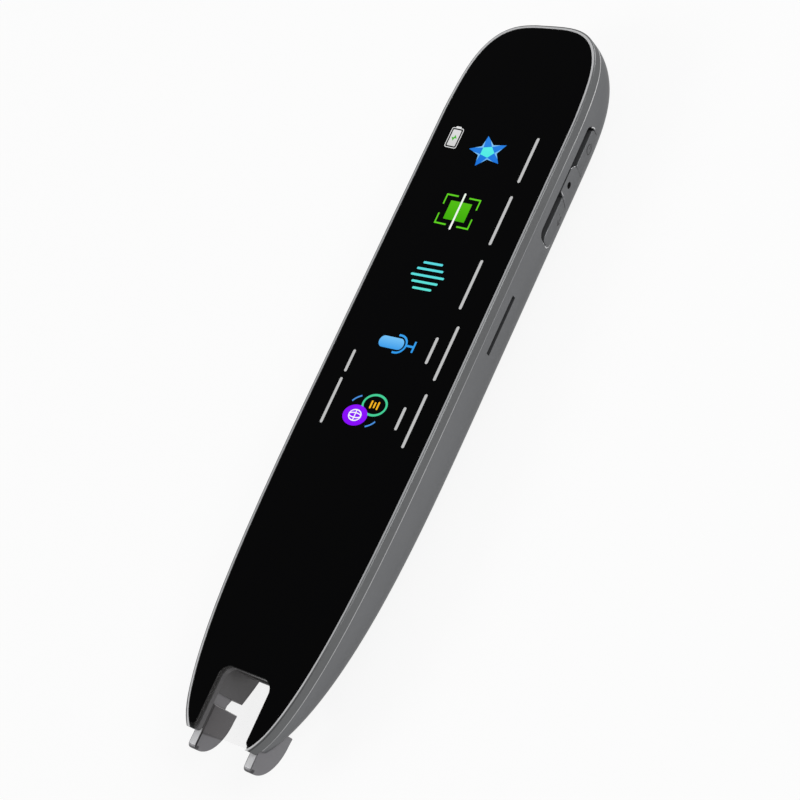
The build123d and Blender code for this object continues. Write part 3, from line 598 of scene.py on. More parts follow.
def shade(code: str) -> Colour:
    """Linear colour of a screen colour.

    Each channel c becomes c / 12.92 below 0.04045 and ((c + 0.055) / 1.055) to the power 2.4 above it.

    Args:
        code: The screen colour as six hexadecimal digits.

    Returns:
        The linear colour.
    """
    screen = np.array([int(code[at : at + 2], 16) for at in (0, 2, 4)]) / 255
    linear = np.where(screen < 0.04045, screen / 12.92, ((screen + 0.055) / 1.055) ** 2.4)
    return tuple(float(channel) for channel in linear)


@dataclass(frozen=True)
class Finish:
    """Any surface finish: a colour and how rough it is."""

    name: str
    colour: Colour
    roughness: float = 0.5

    def material(self) -> bpy.types.Material:
        """Make the finish's material on first use.

        Returns:
            The material, the same one at each call.
        """
        title = f"{self.name}_finish"
        known = bpy.data.materials.get(title)
        if known:
            return known
        made = bpy.data.materials.new(title)
        made.use_nodes = True
        made.diffuse_color = (*self.colour, 1.0)
        self.draw(Shader(made.node_tree))
        return made

    def dark(self, share: float) -> Colour:
        """The colour at a share of its strength."""
        return tuple(channel * share for channel in self.colour)

    def draw(self, shader: Shader) -> None:
        """Build the finish's nodes in a shader's tree."""
        raise NotImplementedError


@dataclass(frozen=True)
class SatinPaint(Finish):
    """Satin metallic paint: a fine orange-peel grain, flakes that vary the gloss, and faint rub marks."""

    metal: float = 0.65
    grain: float = 5200.0
    relief: float = 0.12

    def draw(self, shader: Shader) -> None:
        """Mix the colour with slow clouds and fine flakes, and raise the grain.

        Args:
            shader: The material's tree.
        """
        flakes = shader.noise(self.grain, detail=2.0)
        clouds = shader.noise(90.0, detail=2.0)
        rubbed = shader.noise(420.0, (1, 0.12, 1), 4.0)
        share = flakes * 0.55 + clouds * 0.45
        shader.finish(
            Base_Color=shader.blend(share.held(), self.dark(0.86), self.dark(1.14)),
            Metallic=self.metal,
            Roughness=flakes * 0.07 + rubbed * 0.07 + (self.roughness - 0.07),
            Specular_Tint=(0.35, 0.35, 0.35, 1.0),
            Normal=shader.bump(flakes, 0.00002, self.relief),
        )


@dataclass(frozen=True)
class FootPaint(Finish):
    """Satin paint of a foot, with painted light: painted shade under the window, a dark front line, painted
    shade across the toe and a painted highlight near the root.

    A place gets the painted shade where Y and a share of Z add up to more than a line's value. All places are
    in millimetres, and a pair of them is where a smooth step starts and ends.
    """

    # Colours of the painted shade under the window and of the painted highlight near the root.
    shaded: Colour = (0.1, 0.1, 0.1)
    bright: Colour = (0.62, 0.61, 0.61)
    # Spans of the painted shade under the window, the painted highlight near the root and the painted shade
    # across the toe.
    slope: float = 0.10
    line: Pair = (-69.59, -69.29)
    inner: Pair = (5.9, 5.96)
    root: Pair = (-65.16, -65.12)
    front: Pair = (10.36, 10.40)
    front_inner: Pair = (5.98, 6.03)
    toe_low: Pair = (9.55, 9.8)
    toe_high: Pair = (10.3, 10.45)
    toe_end: Pair = (-72.7, -72.5)

    def draw(self, shader: Shader) -> None:
        """Lay the painted shade, the front line, the toe's painted shade and the root's painted highlight
        over each other.

        Args:
            shader: The material's tree.
        """
        across, along, up = shader.parts()
        aside = across.size()
        flakes = shader.noise(5200.0, detail=2.0)
        inside = 1 - aside.step(*self.inner)
        # painted shade on the inner side under the window
        window_shade = (along + up * self.slope).step(*self.line) * inside
        front = up.step(*self.front) * (1 - aside.step(*self.front_inner))
        # painted shade: a dark band across the rounded toe
        toe = up.step(*self.toe_low) * (1 - up.step(*self.toe_high)) * (1 - along.step(*self.toe_end))
        paint = shader.blend(flakes, self.dark(0.9), self.dark(1.1))
        paint = shader.blend(window_shade, paint, self.shaded)
        paint = shader.blend(front, paint, self.dark(0.12))
        paint = shader.blend(toe, paint, self.dark(0.3))
        shader.finish(
            # painted highlight on the inner side near the root
            Base_Color=shader.blend(along.step(*self.root) * inside, paint, self.bright),
            Metallic=0.5,
            Roughness=flakes * 0.07 + self.roughness,
            Normal=shader.bump(flakes, 0.00002, 0.12),
        )


@dataclass(frozen=True)
class PartingPaint(Finish):
    """Paint of the thin bevel at the parting line, with a painted highlight: lightest round the crown, plain
    by the keys, paler below.
    """

    # Spans along Y, in millimetres, where the painted highlight grows round the crown and below the keys.
    crown: Pair = (38.0, 58.0)
    lower: Pair = (-12.0, 13.0)
    lower_share: float = 0.4
    wear: float = 0.2
    # Colour of the painted highlight.
    bright: Colour = (0.6, 0.6, 0.6)

    def draw(self, shader: Shader) -> None:
        """Paint the highlight in by two steps along Y, in millimetres, and let a noise vary it and the
        roughness, as worn paint.

        Args:
            shader: The material's tree.
        """
        _, along, _ = shader.parts()
        wear = shader.noise(900.0, detail=2.0)
        # painted highlight: lighter round the crown and below, varied at random
        share = along.step(*self.crown) + (1 - along.step(*self.lower)) * self.lower_share + wear * self.wear
        shader.finish(
            Base_Color=shader.blend(share.held(), self.colour, self.bright),
            Metallic=0.5,
            Roughness=wear * 0.1 + self.roughness,
        )


@dataclass(frozen=True)
class RimPaint(Finish):
    """Rim of the front frame: a polished line beside the glass, with a painted highlight that grows to both
    ends, and plain outside.
    """

    plain: Colour = (0.14, 0.14, 0.145)
    line: Pair = (0.26, 0.34)
    middle: float = 2.0
    # The painted highlight grows over this reach of the distance from the middle, in millimetres.
    reach: Pair = (38.0, 64.0)
    wear: float = 0.15
    # Colour of the painted highlight.
    bright: Colour = (0.74, 0.74, 0.75)

    def draw(self, shader: Shader) -> None:
        """Paint a highlight onto the line by a step of the distance from the middle along Y, and vary it and
        the roughness with a noise, as worn polish.

        Args:
            shader: The material's tree.
        """
        across, along, _ = shader.parts()
        wear = shader.noise(1400.0, detail=2.0)
        # painted highlight: the polished line grows lighter towards both ends
        share = (along - self.middle).size().step(*self.reach)
        polish_and_highlight = shader.blend((share * (1 - self.wear) + wear * self.wear).held(), self.colour, self.bright)
        inset = self.inset(across, PEN.crown - along)
        shader.finish(
            Base_Color=shader.blend(inset.step(*self.line), self.plain, polish_and_highlight),
            Metallic=0.35,
            Roughness=wear * 0.1 + (self.roughness - 0.05),
        )

    def inset(self, across: Signal, distance: Signal) -> Signal:
        """How far inside the body's outline a point lies, in millimetres.

        The outline is where the across share to one power and the run's share to another add up to one. The
        inset is one less that sum, over the length of its slope.

        Args:
            across: Millimetres from the pen's middle line.
            distance: Millimetres from the crown.

        Returns:
            The inset, near enough for a thin line.
        """
        reach = BODY.nose_start + BODY.nose_reach - BODY.taper_start
        side = across.size() * (1 / BODY.half)
        upper = ((BODY.crown_length - distance) * (1 / BODY.crown_length)).held()
        lower = ((distance - BODY.taper_start) * (1 / reach)).held()
        power, crown_power = BODY.crown_powers
        taper_power = BODY.taper_powers[1]
        total = side**power + upper**crown_power + lower**taper_power
        across_slope = side ** (power - 1) * (power / BODY.half)
        crown_slope = upper ** (crown_power - 1) * (crown_power / BODY.crown_length)
        taper_slope = lower ** (taper_power - 1) * (taper_power / reach)
        slope = (across_slope**2 + (crown_slope + taper_slope) ** 2) ** 0.5
        return (1 - total) / slope


@dataclass(frozen=True)
class BrushedMetal(Finish):
    """Tinted metal brushed along the pen: long fine scratches of two widths."""

    contrast: float = 0.5

    def draw(self, shader: Shader) -> None:
        """Stretch two noises along Y, and let them drive colour, gloss and relief.

        Args:
            shader: The material's tree.
        """
        fine = shader.noise(9000.0, (1, 0.003, 1), 3.0)
        broad = shader.noise(2600.0, (1, 0.004, 1), 3.0)
        streak = (fine * 0.6 + broad * 0.4).step(0.38, 0.62)
        shader.finish(
            Base_Color=shader.blend(streak, self.dark(1 - self.contrast), self.dark(1 + self.contrast)),
            Metallic=0.75,
            Roughness=self.roughness + streak * 0.12,
            Normal=shader.bump(streak, 0.00001, 0.35),
        )


@dataclass(frozen=True)
class Polished(Finish):
    """Polished glass or moulding with the faintest smears."""

    gloss: float = 0.5

    def draw(self, shader: Shader) -> None:
        """Vary the gloss with a slow noise.

        Args:
            shader: The material's tree.
        """
        smears = shader.noise(140.0, (1, 0.4, 1), 4.0)
        dust = shader.noise(9000.0, detail=1.0)
        shader.finish(
            Base_Color=shader.blend(dust, self.dark(0.95), self.dark(1.05)),
            Roughness=self.roughness + smears * 0.03,
            Specular_IOR_Level=self.gloss,
        )


@dataclass(frozen=True)
class ClearMoulding(Finish):
    """Clear moulding that lets most light pass."""

    cover: float = 0.3

    def draw(self, shader: Shader) -> None:
        """Make it nearly clear, with flow lines in its haze.

        Args:
            shader: The material's tree.
        """
        flow = shader.noise(300.0, (1, 0.3, 1), 2.0)
        shader.finish(
            Base_Color=self.colour,
            Roughness=self.roughness + flow * 0.04,
            Alpha=self.cover + flow * 0.03,
        )


@dataclass(frozen=True)
class Moulding(Finish):
    """Moulded plastic, rubber or foam with a fine spark-eroded grain."""

    grain: float = 3600.0
    relief: float = 0.25

    def draw(self, shader: Shader) -> None:
        """Raise a noise grain and vary the colour with it.

        Args:
            shader: The material's tree.
        """
        grain = shader.noise(self.grain, detail=3.0)
        clouds = shader.noise(160.0, detail=2.0)
        shader.finish(
            Base_Color=shader.blend((grain * 0.5 + clouds * 0.5).held(), self.dark(0.82), self.dark(1.18)),
            Roughness=(self.roughness - 0.05) + grain * 0.1,
            Normal=shader.bump(grain, 0.00003, self.relief),
        )


@dataclass(frozen=True)
class BareMetal(Finish):
    """Drawn, stamped or plated metal: fine rolling lines and small dents."""

    lines: Triple = (1.0, 0.05, 1.0)

    def draw(self, shader: Shader) -> None:
        """Stretch one noise into lines, and lay a slower one under it.

        Args:
            shader: The material's tree.
        """
        lines = shader.noise(5200.0, self.lines, 2.0)
        dents = shader.noise(700.0, detail=2.0)
        shader.finish(
            Base_Color=shader.blend((lines * 0.6 + dents * 0.4).held(), self.dark(0.8), self.dark(1.15)),
            Metallic=1.0,
            Roughness=(self.roughness - 0.06) + lines * 0.12,
            Normal=shader.bump(lines * 0.5 + dents, 0.00002, 0.3),
        )


@dataclass(frozen=True)
class CircuitBoard(Finish):
    """Lacquered board or film with copper tracks under the lacquer and plated pads."""

    track: Colour = (0.1, 0.3, 0.1)
    pitch: float = 900.0

    def draw(self, shader: Shader) -> None:
        """Draw tracks as a stepped wave of X that wanders with a noise, and pads in a few cells of a grid.

        Args:
            shader: The material's tree.
        """
        across, _, _ = shader.parts(self.pitch)
        wander = shader.noise(260.0, (1, 0.2, 1), 0.0)
        tracks = (across + wander * 3).folded(0.5).step(0.3, 0.36)
        pads = 1 - shader.cells(620.0, distance="CHEBYCHEV").step(0.16, 0.2)
        chosen = shader.noise(150.0, detail=0.0).step(0.54, 0.56)
        lacquer = shader.blend(tracks, self.colour, self.track)
        shader.finish(
            Base_Color=shader.blend((pads * chosen).held(), lacquer, (0.78, 0.66, 0.4)),
            Roughness=self.roughness - tracks * 0.08,
            Normal=shader.bump(tracks + pads * chosen, 0.00003, 0.4),
        )


@dataclass(frozen=True)
class Gauze(Finish):
    """Woven wire: two crossing waves of round wires with dark gaps between them."""

    pitch: float = 3600.0

    def draw(self, shader: Shader) -> None:
        """Take a wire's height as one less the distance from its middle, and keep the higher wire.

        Args:
            shader: The material's tree.
        """
        across, along, _ = shader.parts(self.pitch)
        warp = 1 - across.folded(0.5) * 2
        weft = 1 - along.folded(0.5) * 2
        wire = warp.math("MAXIMUM", warp, weft)
        shader.finish(
            Base_Color=shader.blend(wire.step(0.3, 0.75), self.dark(0.25), self.dark(1.1)),
            Metallic=wire.step(0.3, 0.6) * 0.4,
            Roughness=self.roughness,
            Normal=shader.bump(wire, 0.00004, 0.5),
        )


@dataclass(frozen=True)
class Foil(Finish):
    """Soft foil pouch with shallow creases."""

    def draw(self, shader: Shader) -> None:
        """Crease it with a cell pattern and a slow noise.

        Args:
            shader: The material's tree.
        """
        crease = shader.cells(210.0, feature="SMOOTH_F1")
        clouds = shader.noise(400.0, detail=3.0)
        shader.finish(
            Base_Color=shader.blend(clouds, self.dark(0.85), self.dark(1.1)),
            Metallic=0.85,
            Roughness=(self.roughness - 0.05) + clouds * 0.1,
            Normal=shader.bump(crease + clouds * 0.4, 0.0002, 0.25),
        )


@dataclass(frozen=True)
class Glow(Finish):
    """Lit marks of the display: one colour runs into another between two places along Y, in millimetres."""

    other: Colour = (0.0, 0.0, 0.0)
    start: float = 0.0
    stop: float = 1.0

    def draw(self, shader: Shader) -> None:
        """Run from the colour to the other one, with a faint pixel grid.

        Args:
            shader: The material's tree.
        """
        _, along, _ = shader.parts()
        share = along.step(self.start, self.stop)
        pixels = shader.noise(8000.0, detail=0.0)
        lit = shader.blend(share, self.colour, self.other)
        shader.finish(
            Base_Color=(0.002, 0.002, 0.002),
            Roughness=self.roughness,
            Specular_IOR_Level=0.2,
            Emission_Color=shader.blend(pixels * 0.12, lit, (0.0, 0.0, 0.0)),
            Emission_Strength=1.0,
        )


class Slot(Enum):
    """The record's material slots, each with the finish that is drawn for it."""

    case_grey = SatinPaint("case_satin", shade("737476"), 0.34)
    frame_grey = SatinPaint("frame_satin", shade("68696A"), 0.34)
    key_grey = SatinPaint("key_satin", shade("6F7072"), 0.34)
    # The foot's last colour is its painted shade under the window.
    foot_grey = FootPaint("foot_satin", shade("78777A"), 0.38, shade("545254"))
    # The liner's own grey, darkened as a painted shade for the inside of the notch.
    liner_grey = Moulding("liner_moulding_and_shade", shade("4E4D4F"), 0.5)
    cover_black = Polished("cover_glass", (0.0008, 0.0008, 0.001), 0.02, 0.15)
    window_clear = ClearMoulding("window_clear", shade("9A9696"), 0.05, 0.03)
    plate_metal = BrushedMetal("plate_brushed", shade("8A8B8C"), 0.34)
    panel_black = Polished("panel_gloss", (0.0012, 0.0012, 0.0014), 0.05, 0.15)
    trim_white = Polished("trim_white", (0.86, 0.86, 0.86), 0.2, 0.5)
    mesh_grey = Gauze("mesh_gauze", shade("A8A8A8"), 0.45)
    tape_black = Moulding("tape_black", (0.03, 0.03, 0.03), 0.7)
    foam_black = Moulding("foam_black", (0.05, 0.05, 0.05), 0.9, 1800.0, 0.8)
    display = Polished("display_dark", (0.02, 0.02, 0.025), 0.2, 0.5)
    flex_amber = CircuitBoard("flex_film", (0.45, 0.22, 0.04), 0.4, (0.62, 0.34, 0.08), 1500.0)
    board_green = CircuitBoard("board_lacquer", (0.02, 0.13, 0.06), 0.35, (0.05, 0.24, 0.1))
    screw_steel = BareMetal("screw_plating", (0.55, 0.55, 0.56), 0.3, (1, 1, 1))
    can_steel = BareMetal("can_sheet", (0.62, 0.62, 0.62), 0.38)
    chip_black = Moulding("chip_package", (0.03, 0.03, 0.03), 0.6)
    connector = Moulding("connector_moulding", (0.75, 0.73, 0.66), 0.5)
    port_steel = BareMetal("port_shell_steel", (0.60, 0.61, 0.62), 0.25)
    cell_silver = Foil("cell_pouch", (0.70, 0.71, 0.72), 0.35)
    switch_black = Moulding("switch_body", (0.06, 0.06, 0.06), 0.55)
    plunger_grey = Moulding("plunger_moulding", (0.20, 0.20, 0.21), 0.5)
    camera_black = Moulding("camera_housing_black", (0.02, 0.02, 0.02), 0.6)
    lens_clear = ClearMoulding("lens_coated", (0.55, 0.60, 0.80), 0.02, 0.5)
    hood_black = Moulding("hood_black", (0.010, 0.010, 0.010), 0.75)
    light_pale = Polished("light_cap", (0.92, 0.90, 0.80), 0.15, 0.5)
    spring_steel = BareMetal("spring_wire", (0.60, 0.60, 0.60), 0.3, (1, 1, 1))
    cone_black = Moulding("cone_paper", (0.04, 0.04, 0.04), 0.85, 2400.0, 0.6)


def settle(piece: bpy.types.Object, body: str, finish: Finish, slot: Slot | None = None) -> bpy.types.Object:
    """Give a new piece its finish, put it on its body and report it.

    Args:
        piece: The new object.
        body: The body that it rides on.
        finish: Its finish.
        slot: The record's slot that it takes its finish from, where it has one. Not used.

    Returns:
        The piece.
    """
    piece.data.materials.clear()
    piece.data.materials.append(finish.material())
    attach(piece, body)
    LOG.info("%s: %d faces on %s", piece.name, len(piece.data.polygons), body)
    return piece


@dataclass(frozen=True)
class BodyForm:
    """The pen's outer form: plan outlines that shrink with depth on an elliptical side.

    Fall runs from 0 at the parting line to 1 at the back. Sink is one less the root of one less fall squared.
    The half width loses side_round times sink, the crown loses crown_round times sink, and the nose reaches
    nose_reach times (1 less fall to a power) to the inverse of another power past nose_start.
    """

    length: float = 143.6
    half: float = 15.5
    thickness: float = 13.0
    split: float = 2.0
    side_round: float = 5.2
    crown_round: float = 8.1
    crown_length: float = 30.0
    crown_powers: Pair = (3.28, 4.28)
    taper_start: float = 68.3
    taper_powers: Pair = (3.28, 3.24)
    nose_start: float = 112.0
    nose_reach: float = 34.1
    nose_powers: Pair = (1.7, 2.1)
    marks: Pair = (30.0, 92.0)
    counts: tuple[int, int, int] = (60, 72, 84)

    def measures(self, fall: Any, inset: float = 0.0) -> tuple[Any, Any, Any]:
        """Extent of the outline at a fall.

        Args:
            fall: How far down the side, from 0 to 1.
            inset: How far inside the skin the outline is drawn.

        Returns:
            Its half width, and its distance at the crown and at the nose.
        """
        sink = 1 - np.sqrt(1 - np.square(fall))
        inner, outer = self.nose_powers
        nose = (self.nose_reach - inset) * np.power(1 - np.power(fall, inner), 1 / outer)
        half = self.half - inset - self.side_round * sink
        return half, inset + self.crown_round * sink, self.nose_start + nose

    def depth(self, fall: Any, inset: float = 0.0) -> Any:
        """Depth below the front face at a fall."""
        return self.split + (self.thickness - inset - self.split) * fall

    def quarter(self, width: float, run: float, powers: Pair, count: int = 500) -> np.ndarray:
        """Quarter superellipse: width times cosine, and run times sine, each to 2 over its power.

        Args:
            width: Reach of its first column.
            run: Reach of its second column.
            powers: The power of each column.
            count: How many points.

        Returns:
            The points, from the wide end.
        """
        angle = np.linspace(0, math.pi / 2, count)
        cosine = np.cos(angle).clip(0)
        return np.stack([width * cosine ** (2 / powers[0]), run * np.sin(angle) ** (2 / powers[1])], -1)

    def halves(self, fall: float, inset: float = 0.0) -> np.ndarray:
        """Right half of the outline, from the crown's middle to the nose.

        Args:
            fall: How far down the side, from 0 to 1.
            inset: How far inside the skin the outline is drawn.

        Returns:
            The half outline as (across, distance).
        """
        half, crown, nose = self.measures(fall, inset)
        upper = self.quarter(half, self.crown_length - crown, self.crown_powers)[::-1]
        lower = self.quarter(half, nose - self.taper_start, self.taper_powers)
        return np.concatenate([upper * (1, -1) + (0, self.crown_length), lower + (0, self.taper_start)])

    def outline(self, fall: float, inset: float = 0.0) -> np.ndarray:
        """The whole outline at a fall, drawn inset from the skin, as a closed ring."""
        return self.ring(self.halves(fall, inset))

    def ring(self, right: np.ndarray) -> np.ndarray:
        """Close a right half outline: even points on each stretch between the marks, then their mirror.

        Args:
            right: Dense points of the right half, with distance rising all the way.

        Returns:
            The closed ring, with as many points for any outline.
        """
        across, distance = right.T
        rising = distance + np.arange(len(distance)) * 1e-9
        ends = [rising[0], *self.marks, rising[-1]]
        stretches = []
        for start, stop, count in zip(ends[:-1], ends[1:], self.counts):
            inner = (rising > start) & (rising < stop)
            edge = np.interp([start, stop], rising, across)
            path = np.concatenate([[(edge[0], start)], right[inner], [(edge[1], stop)]])
            stretches.append(spaced(path, count + 1)[:-1])
        half = np.concatenate([*stretches, right[-1:]])
        return np.concatenate([half, half[-2:0:-1] * (-1, 1)])

    def side(self, distance: Any, depth: Any) -> Any:
        """How far across the skin lies.

        It is the half width times (1 less the run to one power) to the inverse of another, for the crown's
        run and for the taper's.

        Args:
            distance: Distance from the crown.
            depth: Depth below the front face.

        Returns:
            Millimetres from the middle line.
        """
        fall = np.clip((depth - self.split) / (self.thickness - self.split), 0, 1)
        half, crown, nose = self.measures(fall)
        upper = np.clip((self.crown_length - distance) / (self.crown_length - crown), 0, 1)
        lower = np.clip((distance - self.taper_start) / (nose - self.taper_start), 0, 1)
        crown_share = (1 - upper ** self.crown_powers[1]) ** (1 / self.crown_powers[0])
        taper_share = (1 - lower ** self.taper_powers[1]) ** (1 / self.taper_powers[0])
        return half * crown_share * taper_share

    def wrap(self, points: np.ndarray, lift: float) -> np.ndarray:
        """Put (distance, depth) points on the skin's side, raised by a lift."""
        return upright(points, self.side(points[:, 0], points[:, 1]) + lift)

    def skin(self, across: np.ndarray, distance: np.ndarray) -> np.ndarray:
        """Depth of the back's skin over plan points, found by halving: the deepest outline that holds each.

        Args:
            across: How far across each point lies.
            distance: Its distance from the crown.

        Returns:
            The depth at each point.
        """
        low, high = np.zeros_like(across), np.ones_like(across)
        for _ in range(36):
            middle = (low + high) / 2
            _, crown, nose = self.measures(middle)
            wide = self.side(distance, self.depth(middle)) >= np.abs(across)
            inside = wide & (distance >= crown) & (distance <= nose)
            low, high = np.where(inside, middle, low), np.where(inside, high, middle)
        return self.depth(low)


BODY = BodyForm()


@dataclass(frozen=True)
class CaseBack:
    """The back shell: a painted hollow form with a raised lip round its back plate, and all its openings.

    An opening's box holds its lowest and highest corner: (across, distance) in plan, (distance, depth) in the
    side, and (across, depth) for the port. The microphone's hole is a place in the side and a radius.
    """

    wall: float = 1.2
    cavity_end: float = 125.5
    parting: float = 0.18
    turns: tuple[float, ...] = tuple(np.concatenate([np.linspace(1.2, 60, 22), np.linspace(62, 71.8, 5)]))
    ridge_shoulder: float = 92.0
    ridge_end: float = 118.9
    dish: float = 0.34
    dish_full: float = 0.87
    dish_close: float = 0.955
    dish_shares: tuple[float, ...] = (
        0.12, 0.25, 0.38, 0.5, 0.61, 0.71, 0.8, 0.87, 0.92, 0.955, 0.975, 0.99, 1.0,
    )
    groove: float = 0.28
    groove_middle: float = 0.38
    groove_width: float = 0.56
    groove_shares: tuple[float, ...] = (
        0.05, 0.1, 0.16, 0.22, 0.28, 0.34, 0.4, 0.46, 0.52, 0.58, 0.64, 0.7, 0.78, 0.88, 1.0,
    )
    crown_fade: Pair = (11.0, 9.0)
    end_fade: Pair = (111.0, 7.0)
    end_share: float = 0.85
    bed_half: float = 8.8
    bed_start: float = 10.62
    bed_corner: float = 5.4
    bed_shoulder: float = 98.1
    bed_end: float = 117.45
    plate_power: float = 3.0
    plate_depth: float = 12.3
    panel_depth: float = 12.2
    under: float = 14.0
    aside: float = 17.0
    sound: Box = ((-6.3, 16.8), (6.3, 27.4))
    port: Box = ((-4.6, 4.0), (4.6, 7.4))
    port_corner: float = 1.69
    island: Box = ((26.5, 4.0), (32.0, 4.4))
    microphone: Triple = (29.15, 6.1, 0.65)
    card: Box = ((52.9, 4.15), (64.6, 5.15))
    channel: Box = ((-7.74, 124.3), (7.74, 136.3))
    liner: Box = ((-7.24, 126.45), (7.24, 160.0))
    liner_corner: float = 2.2
    skirt: Box = ((-7.84, 136.3), (7.84, 160.0))
    tip: Box = ((-16.0, 142.6), (16.0, 160.0))

    def ridge(self) -> np.ndarray:
        """Crest line: the flat back's own crown, a straight side, and a superellipse round the plate's end.

        Returns:
            The closed line as (across, distance).
        """
        half, crown, _ = BODY.measures(1.0)
        upper = BODY.quarter(half, BODY.crown_length - crown, BODY.crown_powers)[::-1] * (1, -1)
        lower = BODY.quarter(half, self.ridge_end - self.ridge_shoulder, (self.plate_power, self.plate_power))
        right = np.concatenate([upper + (0, BODY.crown_length), lower + (0, self.ridge_shoulder)])
        return BODY.ring(right)

    def bed(self) -> np.ndarray:
        """Line just outside the plate and the panel: a rounded top, straight sides and a superellipse end.

        Returns:
            The closed line as (across, distance).
        """
        turn = np.linspace(math.pi / 2, 0, 200)
        corner = np.stack([np.cos(turn), -np.sin(turn)], -1) * self.bed_corner
        corner += (self.bed_half - self.bed_corner, self.bed_start + self.bed_corner)
        powers = (self.plate_power, self.plate_power)
        lower = BODY.quarter(self.bed_half, self.bed_end - self.bed_shoulder, powers) + (0, self.bed_shoulder)
        return BODY.ring(np.concatenate([[(0, self.bed_start)], corner, lower]))

    def rings(self) -> np.ndarray:
        """All the skin's rings from the parting line's bevel to the bed of the plate.

        Side rings are outlines at a sine of even turns. Between the last of them and the crest the skin is
        dished by an eased share. From the crest to the bed lies a groove whose depth is a squared cosine, and
        which fades at the crown and at the plate's end.

        Returns:
            Rings by points by (across, distance, depth).
        """
        low = self.parting * 0.3
        bevel = ((self.parting, 0.0), (low, low), (0.0, self.parting))
        stack = [layer(BODY.outline(0.0, inset), BODY.split + drop) for inset, drop in bevel]
        falls = np.sin(np.radians(self.turns))
        stack += [layer(BODY.outline(fall), BODY.depth(fall)) for fall in falls]
        outer, crest, bed = BODY.outline(falls[-1]), self.ridge(), self.bed()
        shares, bands = np.array(self.dish_shares), np.array(self.groove_shares)
        closing = eased((shares - self.dish_close) / (1 - self.dish_close))
        dips = self.dish * eased(shares / self.dish_full) * (1 - closing)
        stack += [self.sunk(outer + (crest - outer) * share, dip) for share, dip in zip(shares, dips)]
        turns = np.clip((bands - self.groove_middle) / self.groove_width, -0.5, 0.5) * math.pi
        dips = self.groove * np.cos(turns) ** 2
        stack += [self.sunk(crest + (bed - crest) * share, dip, True) for share, dip in zip(bands, dips)]
        return np.stack(stack)

    def sunk(self, plan: np.ndarray, dip: float, crowned: bool = False) -> np.ndarray:
        """Lay a plan ring on the back's skin and sink it, less so towards the plate's end.

        Args:
            plan: The ring as (across, distance).
            dip: How far it sinks.
            crowned: Whether the dip fades at the crown too.

        Returns:
            The ring as (across, distance, depth).
        """
        distance = plan[:, 1]
        fade = 1 - self.end_share * eased((distance - self.end_fade[0]) / self.end_fade[1])
        if crowned:
            fade = fade * eased((distance - self.crown_fade[0]) / self.crown_fade[1])
        return layer(plan, BODY.skin(plan[:, 0], distance) - dip * fade)

    def cavity(self) -> bpy.types.Object:
        """Inside of the shell: the same form drawn a wall's thickness in, and stopped before the tip.

        Returns:
            The cutter.
        """
        falls = np.sin(np.radians(np.linspace(0, 90, 14)))
        rings = [layer(BODY.outline(0.0, self.wall), BODY.split - 1)]
        rings += [layer(BODY.outline(fall, self.wall), BODY.depth(fall, self.wall)) for fall in falls]
        stack = np.stack(rings)
        stack[..., 1] = np.minimum(stack[..., 1], self.cavity_end)
        return Solid().tube(stack).piece("cavity_cut")

    def cutters(self) -> list[bpy.types.Object]:
        """Every opening of the shell, as a solid to cut away.

        Returns:
            The cutters.
        """
        under, aside, keys = self.under, self.aside, Keys()
        liner_radii = (self.liner_corner, self.liner_corner, 0.05, 0.05)
        *place, radius = self.microphone
        cuts = (
            ("plate_cut", Way.DEPTH, Plate().outline(0.05), (self.plate_depth, under)),
            ("panel_cut", Way.DEPTH, Plate().panel_bed(), (self.panel_depth, under)),
            ("sound_cut", Way.DEPTH, rounded(oblong(*self.sound), 0.3), (11.0, 12.5)),
            ("port_cut", Way.DISTANCE, rounded(oblong(*self.port), self.port_corner), (-1.0, 3.5)),
            ("power_cut", Way.ACROSS, keys.pocket(KeyPlace.POWER), (11.5, aside)),
            ("function_cut", Way.ACROSS, keys.pocket(KeyPlace.FUNCTION), (11.5, aside)),
            ("island_cut", Way.ACROSS, rounded(oblong(*self.island), 0.05), (14.4, aside)),
            ("microphone_cut", Way.ACROSS, arc(place, (radius, radius), 0, 345, 24), (11.0, aside)),
            ("card_cut", Way.ACROSS, rounded(oblong(*self.card), 0.12), (11.0, aside)),
            ("channel_cut", Way.DEPTH, rounded(oblong(*self.channel), 0.05), (1.0, 6.2)),
            ("liner_cut", Way.DEPTH, rounded(oblong(*self.liner), liner_radii, 12), (6.1, under)),
            ("skirt_cut", Way.DEPTH, rounded(oblong(*self.skirt), 0.05), (1.0, under)),
            ("tip_cut", Way.DEPTH, rounded(oblong(*self.tip), 0.05), (1.0, under)),
        )
        return [self.cavity(), *[prism(*cut) for cut in cuts]]

    def build(self) -> None:
        """Make the shell, put it in place of its node, and give its parting bevel a painted highlight and the
        microphone's hole a painted black shade.
        """
        raw = Solid().tube(self.rings()).piece("case_back")
        shell = carved(raw, self.cutters(), 24.0)
        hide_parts("back_shell")
        settle(shell, "case", Slot.case_grey.value, Slot.case_grey)
        normal, middle = face_parts(shell.data)
        rim = PEN.face - BODY.split - self.parting
        # painted highlight on the bevel at the parting line
        bevel = (normal[:, 2] > 0.3) & (normal[:, 2] < 0.97) & (middle[:, 2] > rim)
        distance, depth = PEN.crown - middle[:, 1], PEN.face - middle[:, 2]
        *place, radius = self.microphone
        # painted shade: the microphone hole's walls in black
        near = np.hypot(distance - place[0], depth - place[1]) < radius + 0.05
        bore_shade = near & (np.abs(normal[:, 0]) < 0.5) & (middle[:, 0] > 0)
        regions = (
            (PartingPaint("parting_painted_highlight", shade("7C7D7F"), 0.4), bevel),
            (Moulding("bore_painted_shade", (0.004, 0.004, 0.004), 0.8), bore_shade),
        )
        paint(shell.data, regions)


